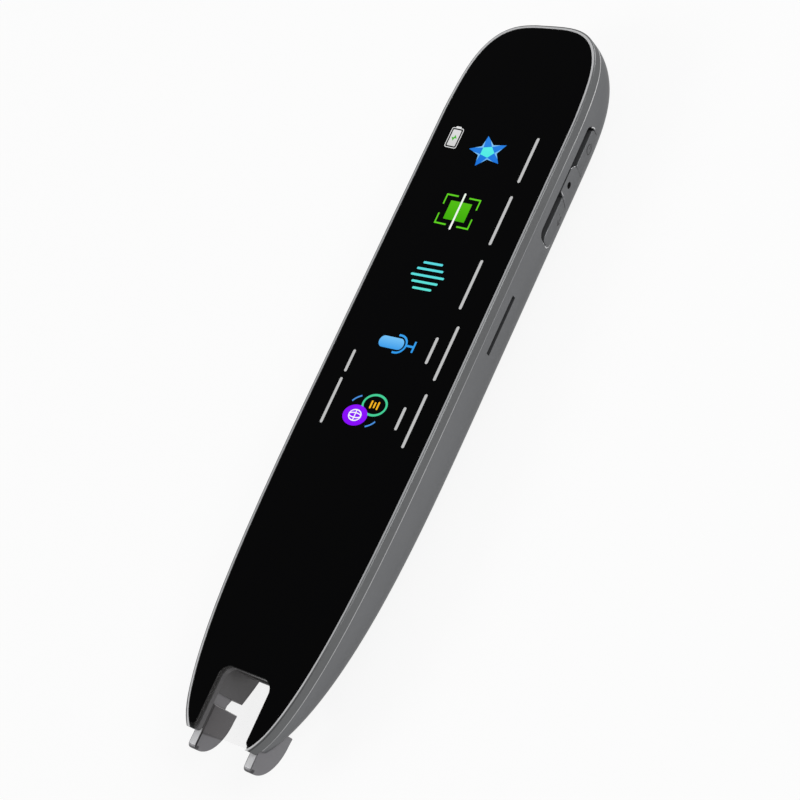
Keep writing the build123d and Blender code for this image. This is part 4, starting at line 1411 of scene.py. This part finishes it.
@dataclass(frozen=True)
class Plate:
    """The brushed back plate's plan, which the speaker panel and the shell's recess follow."""

    half: float = 8.55
    start: float = 33.0
    corner: float = 2.9
    shoulder: float = 98.1
    end: float = 117.1
    power: float = 3.0
    panel_half: float = 7.65
    panel_start: float = 11.6
    panel_corner: float = 4.6
    trim: float = 0.65

    def outline(self, grow: float) -> np.ndarray:
        """Plan of the plate: two rounded top corners and a superellipse end.

        Args:
            grow: How far it is grown all round.

        Returns:
            The closed outline.
        """
        half, top, radius, steps = self.half + grow, self.start - grow, self.corner + grow, 14
        lower = BODY.quarter(half, self.end + grow - self.shoulder, (self.power, self.power), 60)
        lower += (0, self.shoulder)
        corners = [(-half, self.shoulder), (-half, top), (half, top), (half, self.shoulder)]
        upper = rounded(corners, radius, steps)[steps : 3 * steps]
        return np.concatenate([upper, lower, lower[-2::-1] * (-1, 1)])

    def panel_bed(self) -> np.ndarray:
        """Plan of the recess for the speaker panel and its trim, which runs in under the plate.

        Returns:
            The closed outline.
        """
        half, top, bottom = self.panel_half + self.trim, self.panel_start - self.trim, self.start + 5.0
        radius = self.panel_corner + self.trim
        return rounded(oblong((-half, top), (half, bottom)), (radius, radius, 0.02, 0.02), 16)


class KeyPlace(Enum):
    """The two side keys: outer end, inner end, and how far the inner end draws back at some depths."""

    POWER = (17.3, 27.0, (4.0, 5.35, 9.2), (0.0, 1.5, 1.3))
    FUNCTION = (41.0, 31.4, (4.0, 9.2), (0.0, 1.3))


@dataclass(frozen=True)
class Keys:
    """The two side keys: pads that follow the case's side, with softened edges and a small mark each."""

    front: float = 4.0
    back: float = 9.2
    outer_corner: float = 1.6
    key_corner: float = 1.0
    inner_corner: float = 0.15
    front_gap: float = 1.6
    outer_gap: float = 0.12
    inner_gap: float = 0.06
    back_gap: float = 0.08
    recess: float = -0.12
    softening: float = 0.22
    spine: float = 0.7
    face_shares: tuple[float, ...] = (0.25, 0.5, 0.75, 0.97)
    flange: Pair = (11.5, 12.1)
    lip: float = 0.5
    mark_depth: float = 7.4
    mark_levels: Pair = (0.006, -0.02)
    glint_levels: Pair = (0.004, -0.02)

    def pocket(self, place: KeyPlace) -> np.ndarray:
        """Side view of a key's pocket as (distance, depth)."""
        return self.outline(place, (0.0, 0.0, 0.0, 0.0), self.outer_corner)

    def outline(self, place: KeyPlace, gaps: tuple[float, ...], corner: float) -> np.ndarray:
        """Side view of a key as (distance, depth), with a slanted end beside the island.

        Args:
            place: Which key.
            gaps: How far it is drawn in at the front, the outer end, the inner end and the back.
            corner: Radius of its two outer corners.

        Returns:
            The closed outline.
        """
        outer, inner, depths, retreats = place.value
        front_gap, outer_gap, inner_gap, back_gap = gaps
        front, back = self.front + front_gap, self.back - back_gap
        towards = 1 if inner > outer else -1
        bends = [front, *[depth for depth in depths if front < depth < back], back]
        ends = [inner - towards * (float(np.interp(bend, depths, retreats)) + inner_gap) for bend in bends]
        start = outer + towards * outer_gap
        corners = [(start, front), *zip(ends, bends), (start, back)]
        return rounded(corners, (corner, *[self.inner_corner] * len(bends), corner), 8)

    def pad(self, place: KeyPlace, name: str) -> bpy.types.Object:
        """One key: rings from its flange up its wall, over a rounded edge and in across its face.

        The edge is a quarter circle, and the face's rings shrink towards a line along the key. Each face
        point lies on the case's side, less the recess.

        Args:
            place: Which key.
            name: The new object's name.

        Returns:
            The key's object.
        """
        gaps = (self.front_gap, self.outer_gap, self.inner_gap, self.back_gap)
        plan = self.outline(place, gaps, self.key_corner)
        middle = plan.mean(0)
        wide = shrunk(plan, -self.lip)
        wide[:, 1] -= np.where(wide[:, 1] < middle[1], self.front_gap - self.lip + 0.1, 0.0)
        inner, outer = self.flange
        rings = [upright(wide, inner), upright(wide, outer), upright(plan, outer)]
        spine = middle + (plan - middle) * (self.spine, 0.0)
        turns = np.radians(np.linspace(0, 90, 6))
        for inset, drop in self.softening * (1 - np.stack([np.cos(turns), np.sin(turns)], -1)):
            edge = shrunk(plan, inset)
            rings.append(self.lay(edge, -drop))
        rings += [self.lay(edge + (spine - edge) * share, 0.0) for share in self.face_shares]
        return Solid().tube(np.stack(rings)).piece(name)

    def lay(self, points: np.ndarray, lift: float) -> np.ndarray:
        """Put (distance, depth) points on the keys' faces, raised by a lift."""
        return BODY.wrap(points, lift - self.recess)

    def mark(self, name: str, body: str, paths: Sequence[np.ndarray], width: float) -> None:
        """Print line strokes on a key.

        Args:
            name: The mark's name.
            body: The key's body.
            paths: The strokes as (distance, depth).
            width: Width of the lines.
        """
        solid = Solid()
        for path in paths:
            solid.line(path, width, False, self.lay, self.mark_levels)
        settle(solid.piece(name), body, Moulding("key_print", shade("2E2E30"), 0.6), Slot.key_grey)

    def glints(self) -> None:
        """Painted glints at the pockets' ends: thin light lines on the case's side, a painted highlight where
        bevelled ends would catch the light.
        """
        paths = (
            (0.16, [(17.55, 5.1), (17.12, 5.75), (17.0, 6.5)]),
            (0.12, [(26.72, 4.28), (25.62, 5.27)]),
            (0.1, [(31.34, 4.7), (31.5, 5.5), (31.78, 6.6)]),
            (0.2, [(41.12, 6.3), (41.12, 7.5), *arc((39.4, 7.6), (1.72, 1.72), 0, 75, 9)]),
        )
        solid = Solid()
        for width, path in paths:
            solid.line(np.array(path), width, False, BODY.wrap, self.glint_levels)
        # painted highlight: a light, glossy colour
        finish = Polished("pocket_glint", shade("D8D8DA"), 0.25, 0.5)
        settle(solid.piece("pocket_glints"), "case", finish, Slot.case_grey)

    def build(self) -> None:
        """Make both keys, their marks and the painted glints at the pockets' ends."""
        for place, body in ((KeyPlace.POWER, "power_key"), (KeyPlace.FUNCTION, "function_key")):
            key = self.pad(place, f"{body}_pad")
            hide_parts(body)
            settle(key, body, Slot.key_grey.value, Slot.key_grey)
        depth = self.mark_depth
        ring = arc((20.8, depth), (0.95, 0.95), 205, 515, 26)
        bar = np.array([(20.7, depth), (19.5, depth)])
        self.mark("power_mark", "power_key", (ring, bar), 0.2)
        hook = np.array([(34.6, depth - 0.3), (34.6, depth + 0.9), (36.1, depth + 0.9)])
        arrow = np.array([(35.5, depth + 0.2), (36.3, depth + 0.9), (35.5, depth + 1.6)])
        self.mark("function_mark", "function_key", (hook, arrow), 0.32)
        self.glints()


@dataclass(frozen=True)
class DisplayMark:
    """One place on the display: marks are drawn in (along, up), where along runs towards the port end."""

    across: float
    distance: float
    lean: float = 0.0
    floor: float = 0.099
    rise: float = 0.01

    def lay(self, points: np.ndarray) -> np.ndarray:
        """Plan of drawn points: across less up, and distance less along and less the lean's share of up."""
        along, up = points.T
        return np.stack([self.across - up, self.distance - along - up * self.lean], -1)

    def plate(self, solid: Solid, outline: np.ndarray, level: int = 1) -> None:
        """Add a filled shape, raised a hundredth of a millimetre for each level."""
        solid.slab(self.lay(outline), self.floor - self.rise * level, self.floor)

    def line(
        self, solid: Solid, path: Sequence[Any], width: float, closed: bool = False, level: int = 1
    ) -> None:
        """Add a line along a path.

        Args:
            solid: The solid that it goes into.
            path: Its points as (along, up).
            width: Its width.
            closed: Whether it closes on itself.
            level: How many hundredths of a millimetre it is raised.
        """
        levels = (self.floor - self.rise * level, self.floor)
        solid.line(self.lay(np.array(path)), width, closed, layer, levels)


def block(size: Pair, radius: float, steps: int = 6, centre: Pair = (0.0, 0.0)) -> np.ndarray:
    """Rounded rectangle about a centre.

    Args:
        size: Its two extents.
        radius: Radius of its corners.
        steps: Points on each corner.
        centre: Its middle.

    Returns:
        The closed outline.
    """
    (x, y), half, rise = centre, size[0] / 2, size[1] / 2
    return rounded(oblong((x - half, y - rise), (x + half, y + rise)), radius, steps)


def pill(length: float, height: float, centre: Pair = (0.0, 0.0)) -> np.ndarray:
    """Stadium outline of some length and height about a centre."""
    return block((length, height), min(length, height) * 0.49, centre=centre)


@dataclass(frozen=True)
class Display:
    """What the lit display shows: five menu marks, a battery mark, and plain strips where words stand."""

    gloss: float = 0.03
    strip: float = 0.62
    marks: dict[str, Solid] = field(default_factory=dict)

    def solid(self, name: str) -> Solid:
        """The solid that gathers one mark's shapes."""
        return self.marks.setdefault(name, Solid())

    def star(self) -> None:
        """Five-pointed star: arms, a bright middle and pale slivers, from corners on three ovals."""
        spot = DisplayMark(-0.77, 27.62, 0.05)
        turn = np.radians(90 + 72 * np.arange(5))
        between = turn + math.pi / 5
        tips = np.stack([np.cos(turn) * 3.35, np.sin(turn) * 4.45], -1)
        dents = np.stack([np.cos(between) * 1.6, np.sin(between) * 2.2], -1)
        middle = dents * 0.76
        for tip, left, right in zip(tips, dents, np.roll(dents, 1, 0)):
            spot.plate(self.solid("star_arms"), np.array([tip, left, (0, 0), right]))
        for dent, corner, before, after in zip(dents, middle, tips, np.roll(tips, -1, 0)):
            for tip in (before, after):
                sliver = np.array([corner, dent, dent + (tip - dent) * 0.55])
                spot.plate(self.solid("star_facets"), sliver, 2)
        spot.plate(self.solid("star_middle"), middle[::-1], 3)

    def scan_square(self) -> None:
        """Square between four corner brackets, with a white line across it."""
        spot = DisplayMark(-1.24, 40.36, 0.05)
        spot.plate(self.solid("scan_square"), block((3.84, 5.04), 0.05, 3))
        for along in (-1, 1):
            for up in (-1, 1):
                bracket = np.array([(0.95, 3.98), (2.97, 3.98), (2.97, 1.3)]) * (along, up)
                spot.line(self.solid("scan_brackets"), bracket, 0.31)
        spot.plate(self.solid("scan_line"), pill(7.6, 0.42), 2)

    def voice_bars(self) -> None:
        """Five bars across, of different lengths and evenly spaced."""
        spot = DisplayMark(-1.22, 53.92)
        bars = ((-2.3, 2.27), (-3.05, 3.13), (-3.9, 3.9), (-3.07, 3.07), (-2.28, 2.2))
        for place, (low, high) in zip(np.linspace(2.6, -2.6, 5), bars):
            bar = pill(high - low, 0.46)[:, ::-1] + (place, (high + low) / 2)
            spot.plate(self.solid("voice_bars"), bar)

    def microphone(self) -> None:
        """Rounded capsule in a cradle on a stem and foot."""
        spot = DisplayMark(-2.3, 67.75)
        spot.plate(self.solid("microphone_capsule"), block((2.26, 5.8), 1.1, 12))
        stand = self.solid("microphone_cradle")
        spot.line(stand, [(-1.72, -1.0), *arc((0, -1.55), (1.72, 1.9), 180, 360, 28), (1.72, -1.0)], 0.4)
        spot.line(stand, [(0, -3.6), (0, -5.3)], 0.4)
        spot.line(stand, [(-1.1, -5.3), (1.1, -5.3)], 0.4, level=2)

    def two_discs(self) -> None:
        """Full disc and open ring that overlap, each with a plain sign in it, and two short curved lines."""
        disc, ring, middle = DisplayMark(-2.86, 82.5), DisplayMark(0.39, 79.87), DisplayMark(-1.34, 81.37)
        disc.plate(self.solid("disc"), arc((0, 0), (2.02, 2.8), 0, 352, 44), 3)
        sign = self.solid("disc_sign")
        disc.line(sign, arc((0, 0), (1.05, 1.4), 0, 345, 24), 0.22, True, 4)
        disc.line(sign, arc((0, 0), (0.45, 1.4), 0, 345, 24), 0.2, True, 5)
        disc.line(sign, [(-1.05, 0.0), (1.05, 0.0)], 0.2, level=6)
        ring.line(self.solid("ring"), arc((0, 0), (1.95, 2.68), 0, 352, 44), 0.44, True)
        for up, length in ((0.8, 1.6), (0.0, 1.2), (-0.8, 1.6)):
            ring.plate(self.solid("ring_sign"), pill(length, 0.38, (0.0, up)))
        for start in (28, 206):
            middle.line(self.solid("turn_lines"), arc((0, 0), (3.04, 3.95), start, start + 36, 9), 0.3)

    def battery(self) -> None:
        """Battery outline with its knob, filled, with a green flash."""
        spot, case = DisplayMark(-9.8, 25.55, 0.07), self.solid("battery_case")
        spot.line(case, block((4.16, 2.8), 0.4, 5), 0.15, True)
        spot.plate(case, pill(0.3, 1.3, (2.3, 0.0)))
        spot.plate(self.solid("battery_fill"), block((3.44, 2.0), 0.2, 4))
        half = np.array([(-1.0, 0.1), (0.15, 0.75), (0.1, 0.15)])
        spot.plate(self.solid("battery_flash"), np.concatenate([half, -half]) * (0.65, 0.9), 2)

    def words(self) -> None:
        """Plain rounded strips where words stand, one for each word, as long as the word."""
        rows = (
            (9.05, 23.6, 33.0), (9.05, 35.8, 45.9), (9.0, 49.0, 59.0),
            (7.15, 65.0, 70.3), (10.45, 62.2, 73.0), (7.15, 78.9, 83.4),
            (10.3, 75.7, 86.2), (-9.55, 70.5, 75.0), (-9.6, 76.2, 85.4),
        )
        for across, start, stop in rows:
            spot = DisplayMark(across, (start + stop) / 2)
            spot.plate(self.solid("words"), pill(stop - start, self.strip))

    def build(self) -> None:
        """Draw every mark and light it: its colour runs into another one between two places along Y."""
        menu = (self.star, self.scan_square, self.voice_bars, self.microphone, self.two_discs)
        for draw in (*menu, self.battery, self.words):
            draw()
        colours = {
            "star_arms": ("1976E0", "2A86EA", 43.0, 49.0),
            "star_facets": ("6FBCFA", "8CD0FF", 43.0, 49.0),
            "star_middle": ("4FF0E8", "62F5EE", 43.0, 49.0),
            "scan_square": ("3FAE00", "55C40E", 30.0, 36.0),
            "scan_brackets": ("62D820", "62D820", 30.0, 36.0),
            "scan_line": ("FFFFFF", "F4FFF0", 30.0, 36.0),
            "voice_bars": ("5FE8D8", "5CE0E8", 15.0, 23.0),
            "microphone_capsule": ("2E9BEF", "7CCBFF", 3.5, 7.5),
            "microphone_cradle": ("2E9BEF", "3BA6F5", 3.0, 8.0),
            "disc": ("8A00FF", "8F10FF", -12.0, -6.0),
            "disc_sign": ("FFFFFF", "FFFFFF", -12.0, -6.0),
            "ring": ("46D39A", "46D39A", -9.0, -4.0),
            "ring_sign": ("FFC21E", "FFB51E", -9.0, -4.0),
            "turn_lines": ("4D95E6", "4D95E6", -12.0, -4.0),
            "battery_case": ("E8E8E8", "E8E8E8", 45.0, 50.0),
            "battery_fill": ("D6D6D6", "E2E2E2", 45.0, 50.0),
            "battery_flash": ("46B800", "55B84A", 45.0, 50.0),
            "words": ("C4C4C4", "C4C4C4", -15.0, 50.0),
        }
        for name, solid in self.marks.items():
            first, second, start, stop = colours[name]
            glow = Glow(f"lit_{name}", shade(first), self.gloss, shade(second), start, stop)
            settle(solid.piece(name), "case", glow)


@dataclass(frozen=True)
class Foot:
    """One sprung foot: a fin with a softly rounded toe and an oval back, and its stem up inside the prong."""

    side: int
    inner: float = 5.84
    outer: float = 7.74
    root: float = 138.3
    toe: float = 146.6
    front: float = 2.4
    back: float = 9.0
    heel: float = 1.3
    toe_round: float = 0.8
    toe_face: float = 0.5
    edge: float = 0.25
    stem: Pair = (6.39, 7.59)
    stem_low: Pair = (129.0, 2.3)
    stem_high: Pair = (138.5, 6.0)
    window_end: float = 142.9

    def profile(self) -> np.ndarray:
        """Side view: a quarter circle at the toe's front, a short face, and a quarter oval.

        Returns:
            The closed outline as (distance, depth).
        """
        face = self.front + self.toe_round + self.toe_face
        middle = self.root + self.heel
        centre = (self.toe - self.toe_round, self.front + self.toe_round)
        front = arc(centre, (self.toe_round, self.toe_round), -90, 0, 9)
        under = arc((middle, face), (self.toe - middle, self.back - face), 0, 90, 40)
        flat = [(self.root, self.front), (self.window_end, self.front)]
        return np.concatenate([flat, front, under, [(self.root, self.back)]])

    def build(self) -> None:
        """Carry the profile across, with both edges rounded, add the stem, and paint the front faces: a
        painted highlight, and painted shade under the window.
        """
        turns = np.radians([0, 30, 60, 90])
        drops = self.edge * (1 - np.sin(turns))
        steps = self.edge * (1 - np.cos(turns))
        insets = [*drops, *drops[::-1]]
        places = [*(self.inner + steps), *(self.outer - steps[::-1])]
        outline = self.profile()
        fin = [upright(shrunk(outline, inset), place * self.side) for inset, place in zip(insets, places)]
        post = rounded(oblong(self.stem_low, self.stem_high), 0.1, 3)
        stem = [upright(post, place * self.side) for place in self.stem]
        solid = Solid().tube(np.stack(fin)).tube(np.stack(stem))
        node = "right_foot" if self.side > 0 else "left_foot"
        piece = solid.piece(f"{node}_fin")
        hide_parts(node)
        settle(piece, "trigger", Slot.foot_grey.value, Slot.foot_grey)
        normal, middle = face_parts(piece.data)
        # painted highlight on the front faces, and painted shade on those under the window
        front = normal[:, 2] > 0.97
        window_shade = front & (middle[:, 1] > PEN.crown - self.window_end)
        regions = (
            (SatinPaint("toe_painted_highlight", shade("E4E4E6"), 0.4, 0.3), front),
            (SatinPaint("front_window_shade", shade("5A595B"), 0.5, 0.3), window_shade),
        )
        paint(piece.data, regions)


@dataclass(frozen=True)
class ReturnSprings:
    """The two coil springs behind the feet, which shorten as the feet are pressed in."""

    across: float = 6.99
    fixed: float = 114.2
    free: float = 121.0
    depth: float = 4.2
    radius: float = 0.75
    wire: float = 0.12
    pitch: float = 1.0
    gap: float = 0.03
    travel: float = 1.5
    turn_steps: int = 24
    wire_steps: int = 10

    def coil(self, side: int) -> np.ndarray:
        """Rings of one coil: a circle of the wire carried square to a helix about a line along the pen.

        The helix is the radius times (cosine, sine) of its angle, and moves by the pitch each turn. A ring's
        points are the wire's radius times the cosine of their own angle outwards from the coil's line, and
        times its sine along the cross product of the helix's direction and that outward one.

        Args:
            side: 1 for the right spring, -1 for the left one.

        Returns:
            Rings by points by (across, distance, depth).
        """
        start = self.free - self.gap - self.wire
        length = start - self.fixed - self.gap - self.wire
        turns = length / self.pitch
        angle = np.linspace(0, 2 * math.pi * turns, int(turns * self.turn_steps) + 1)[:, None]
        out = np.concatenate([np.cos(angle), np.zeros_like(angle), np.sin(angle)], 1)
        middle = out * self.radius + (side * self.across, start, self.depth)
        middle[:, 1] -= self.pitch * angle[:, 0] / (2 * math.pi)
        along = np.full_like(angle, -self.pitch / (2 * math.pi * self.radius))
        ahead = np.concatenate([-np.sin(angle), along, np.cos(angle)], 1)
        ahead /= np.linalg.norm(ahead, axis=1, keepdims=True)
        beside = np.cross(ahead, out)
        around = np.linspace(0, 2 * math.pi, self.wire_steps, endpoint=False)[:, None]
        section = out[:, None] * np.cos(around) + beside[:, None] * np.sin(around)
        return middle[:, None] + section * self.wire

    def build(self) -> None:
        """Make both springs."""
        springs = Solid().tube(self.coil(-1)).tube(self.coil(1)).piece("trigger_coils")
        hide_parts("trigger_springs")
        settle(springs, "case", Slot.spring_steel.value, Slot.spring_steel)
        anchor = tuple(PEN.place(np.array([0.0, self.fixed, self.depth])).tolist())
        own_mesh(springs)


@dataclass(frozen=True)
class Polisher:
    """Finished copies of machined or moulded nodes: merged, cleaned, and with softened edges."""

    joined: float = 2e-6
    flatness: float = 0.35
    corner: float = 40.0
    notch_half: float = 7.0
    notch_head: float = -54.0
    rim_height: float = 12.5

    def build(self, node: str, slot: Slot, edge: float, steps: int = 2) -> bpy.types.Object:
        """Copy a node's mesh, merge it, dissolve its flat faces and round its edges.

        Args:
            node: The node to copy and stand for.
            slot: Its finish.
            edge: Width of the rounding in millimetres.
            steps: Faces across the rounding.

        Returns:
            The finished copy.
        """
        work = bmesh.new()
        work.from_mesh(FRAME["nodes"][node].data)
        bmesh.ops.remove_doubles(work, verts=work.verts, dist=self.joined)
        limit = math.radians(self.flatness)
        bmesh.ops.dissolve_limit(work, angle_limit=limit, verts=work.verts, edges=work.edges)
        work.verts.ensure_lookup_table()
        points = [tuple(vertex.co) for vertex in work.verts]
        faces = [[vertex.index for vertex in face.verts] for face in work.faces]
        work.free()
        mesh = bpy.data.meshes.new(f"{node}_finished")
        mesh.from_pydata(points, [], faces)
        made = shown(mesh, mesh.name)
        bevel = made.modifiers.new("softened_edges", "BEVEL")
        bevel.width = edge * PEN.unit
        bevel.segments = steps
        bevel.limit_method = "ANGLE"
        bevel.angle_limit = math.radians(self.corner)
        bevel.harden_normals = True
        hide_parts(node)
        body = FRAME["nodes"][node]["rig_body"]
        return settle(made, body, slot.value, slot)

    def brighten(self, frame: bpy.types.Object, glass: bpy.types.Object) -> None:
        """Polish the frame's rim, with a painted highlight, and colour the edges that are seen inside the
        scanning notch: a painted shade on the frame's walls there, and black on the glass's edges.

        Args:
            frame: The front frame's copy.
            glass: The cover glass's copy.
        """
        normal, middle = face_parts(frame.data)
        across, along, up = middle.T
        # painted highlight on the polished rim, lighter towards both ends
        rim = (normal[:, 2] > 0.9) & (up > self.rim_height)
        # painted shade: the frame's walls inside the notch in a darker grey
        notch = (np.abs(across) < self.notch_half) & (along < self.notch_head) & (up < self.rim_height)
        regions = (
            (RimPaint("rim_polish_and_highlight", shade("BFC0C2"), 0.32), rim),
            (Moulding("notch_painted_shade", shade("535254"), 0.5), notch),
        )
        paint(frame.data, regions)
        normal, _ = face_parts(glass.data)
        edge = Moulding("glass_edge_black", (0.002, 0.002, 0.002), 0.9)
        paint(glass.data, ((edge, normal[:, 2] < 0.9),))


@dataclass(frozen=True)
class Lamp:
    """Soft rectangular lamp that looks at the pen: its place in metres, its size, and its power in watts."""

    name: str
    place: Triple
    size: Pair
    power: float

    def build(self) -> None:
        """Make the lamp and turn it towards the pen's middle."""
        data = bpy.data.lights.new(self.name, "AREA")
        data.shape = "RECTANGLE"
        data.size, data.size_y = self.size
        data.energy = self.power
        made = bpy.data.objects.new(self.name, data)
        made.location = self.place
        made.rotation_mode = "QUATERNION"
        made.rotation_quaternion = (-made.location).to_track_quat("-Z", "Y")
        bpy.context.scene.collection.objects.link(made)


@dataclass(frozen=True)
class Studio:
    """Pale floor, plain soft light and the camera."""

    place: Triple = (0.21829580, -0.08190751, 0.25832545)
    turn: tuple[float, float, float, float] = (0.91739546, 0.18143426, 0.31584273, 0.16034507)
    lens: float = 85.92309
    sensor: float = 36.0
    near: float = 0.01
    far: float = 20.0
    floor: float = 3.0
    floor_level: float = -0.00004
    floor_glow: float = 0.88
    paper: Colour = (0.86, 0.86, 0.86)
    white: Colour = (1.0, 1.0, 1.0)
    overhead: Colour = (0.12, 0.12, 0.12)
    overhead_step: Pair = (0.20, 0.50)
    sky: float = 0.42
    lamps: tuple[Lamp, ...] = (
        Lamp("key_lamp", (0.66, 0.21, 0.57), (0.4, 0.4), 2.6),
        Lamp("toe_lamp", (-0.54, -0.47, 0.52), (0.35, 0.35), 2.2),
        Lamp("back_lamp", (0.15, 0.8, 0.40), (0.6, 0.3), 2.6),
    )

    def seen(self, shader: Shader) -> Signal:
        """Where a camera, glossy or transmitted ray looks.

        Args:
            shader: The tree that it is made in.

        Returns:
            1 for such a ray, and 0 for light that falls on things.
        """
        path = shader.node("ShaderNodeLightPath", None, {})
        names = ("Is Camera Ray", "Is Glossy Ray", "Is Transmission Ray")
        camera, glossy, through = (shader.signal(path.outputs[name]) for name in names)
        return (camera + glossy + through).held()

    def camera(self) -> None:
        """Make the camera and hand it to the scene."""
        data = bpy.data.cameras.new("camera")
        data.lens, data.sensor_width = self.lens, self.sensor
        data.clip_start, data.clip_end = self.near, self.far
        made = bpy.data.objects.new("camera", data)
        made.location = self.place
        made.rotation_mode = "QUATERNION"
        made.rotation_quaternion = Quaternion(self.turn)
        bpy.context.scene.collection.objects.link(made)
        bpy.context.scene.camera = made

    def backdrop(self) -> None:
        """White world low down, darker overhead for reflections, and even light for everything else."""
        world = bpy.data.worlds.new("studio")
        bpy.context.scene.world = world
        world.use_nodes = True
        shader = Shader(world.node_tree)
        spot = shader.node("ShaderNodeTexCoord", None, {}).outputs["Generated"]
        height = shader.signal(shader.node("ShaderNodeSeparateXYZ", None, {0: spot}).outputs[2])
        path = shader.node("ShaderNodeLightPath", None, {})
        watched = shader.signal(path.outputs["Is Camera Ray"])
        overhead = height.step(*self.overhead_step) * (1 - watched)
        colour = shader.blend(overhead, self.white, self.overhead)
        seen = shader.node("ShaderNodeBackground", None, {0: colour, 1: 1.0})
        light = shader.node("ShaderNodeBackground", None, {0: self.white, 1: self.sky})
        inputs = {0: self.seen(shader), 1: light.outputs[0], 2: seen.outputs[0]}
        both = shader.node("ShaderNodeMixShader", None, inputs)
        shader.node("ShaderNodeOutputWorld", None, {0: both.outputs[0]})

    def ground(self) -> None:
        """Pale floor just under the pen, which looks white and keeps a soft shadow."""
        size, level = self.floor, self.floor_level
        mesh = bpy.data.meshes.new("floor")
        corners = [(*corner, level) for corner in oblong((-size, -size), (size, size))]
        mesh.from_pydata(corners, [], [(0, 1, 2, 3)])
        made = bpy.data.objects.new("floor", mesh)
        bpy.context.scene.collection.objects.link(made)
        material = bpy.data.materials.new("floor_paper")
        material.use_nodes = True
        shader = Shader(material.node_tree)
        paper = shader.node("ShaderNodeBsdfDiffuse", None, {0: self.paper})
        white = shader.node("ShaderNodeEmission", None, {0: self.white, 1: 1.0})
        inputs = {0: self.seen(shader) * self.floor_glow, 1: paper.outputs[0], 2: white.outputs[0]}
        both = shader.node("ShaderNodeMixShader", None, inputs)
        shader.node("ShaderNodeOutputMaterial", None, {0: both.outputs[0]})
        mesh.materials.append(material)

    def build(self) -> None:
        """Set up the whole studio."""
        bpy.context.scene.view_settings.view_transform = "Standard"
        self.camera()
        self.backdrop()
        self.ground()
        for lamp in self.lamps:
            lamp.build()


def dress_nodes() -> None:
    """Give every node its slot's finish, whether it shows or not."""
    for row in FRAME["record"]["subparts"]:
        node = FRAME["nodes"][row["node"]]
        material = Slot[row["material_slot"]].value.material()
        if not node.material_slots:
            node.data.materials.append(material)
        for place in node.material_slots:
            place.material = material
        LOG.info("%s: dressed as %s", node.name, material.name)


def main() -> None:
    """Build the studio, the case, the keys, the tip and the display, and dress what stays."""
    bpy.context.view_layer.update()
    Studio().build()
    dress_nodes()
    CaseBack().build()
    Keys().build()
    polisher = Polisher()
    frame = polisher.build("front_frame", Slot.frame_grey, 0.08)
    polisher.brighten(frame, polisher.build("cover_glass", Slot.cover_black, 0.08))
    Foot(-1).build()
    Foot(1).build()
    ReturnSprings().build()
    for node, slot, edge in (
        ("back_plate", Slot.plate_metal, 0.06),
        ("speaker_panel", Slot.panel_black, 0.05),
        ("panel_trim", Slot.trim_white, 0.05),
        ("notch_liner", Slot.liner_grey, 0.06),
        ("scan_hood", Slot.hood_black, 0.04),
        ("port_shell", Slot.port_steel, 0.06),
    ):
        polisher.build(node, slot, edge)
    Display().build()


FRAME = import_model()

if __name__ == "__main__":
    main()
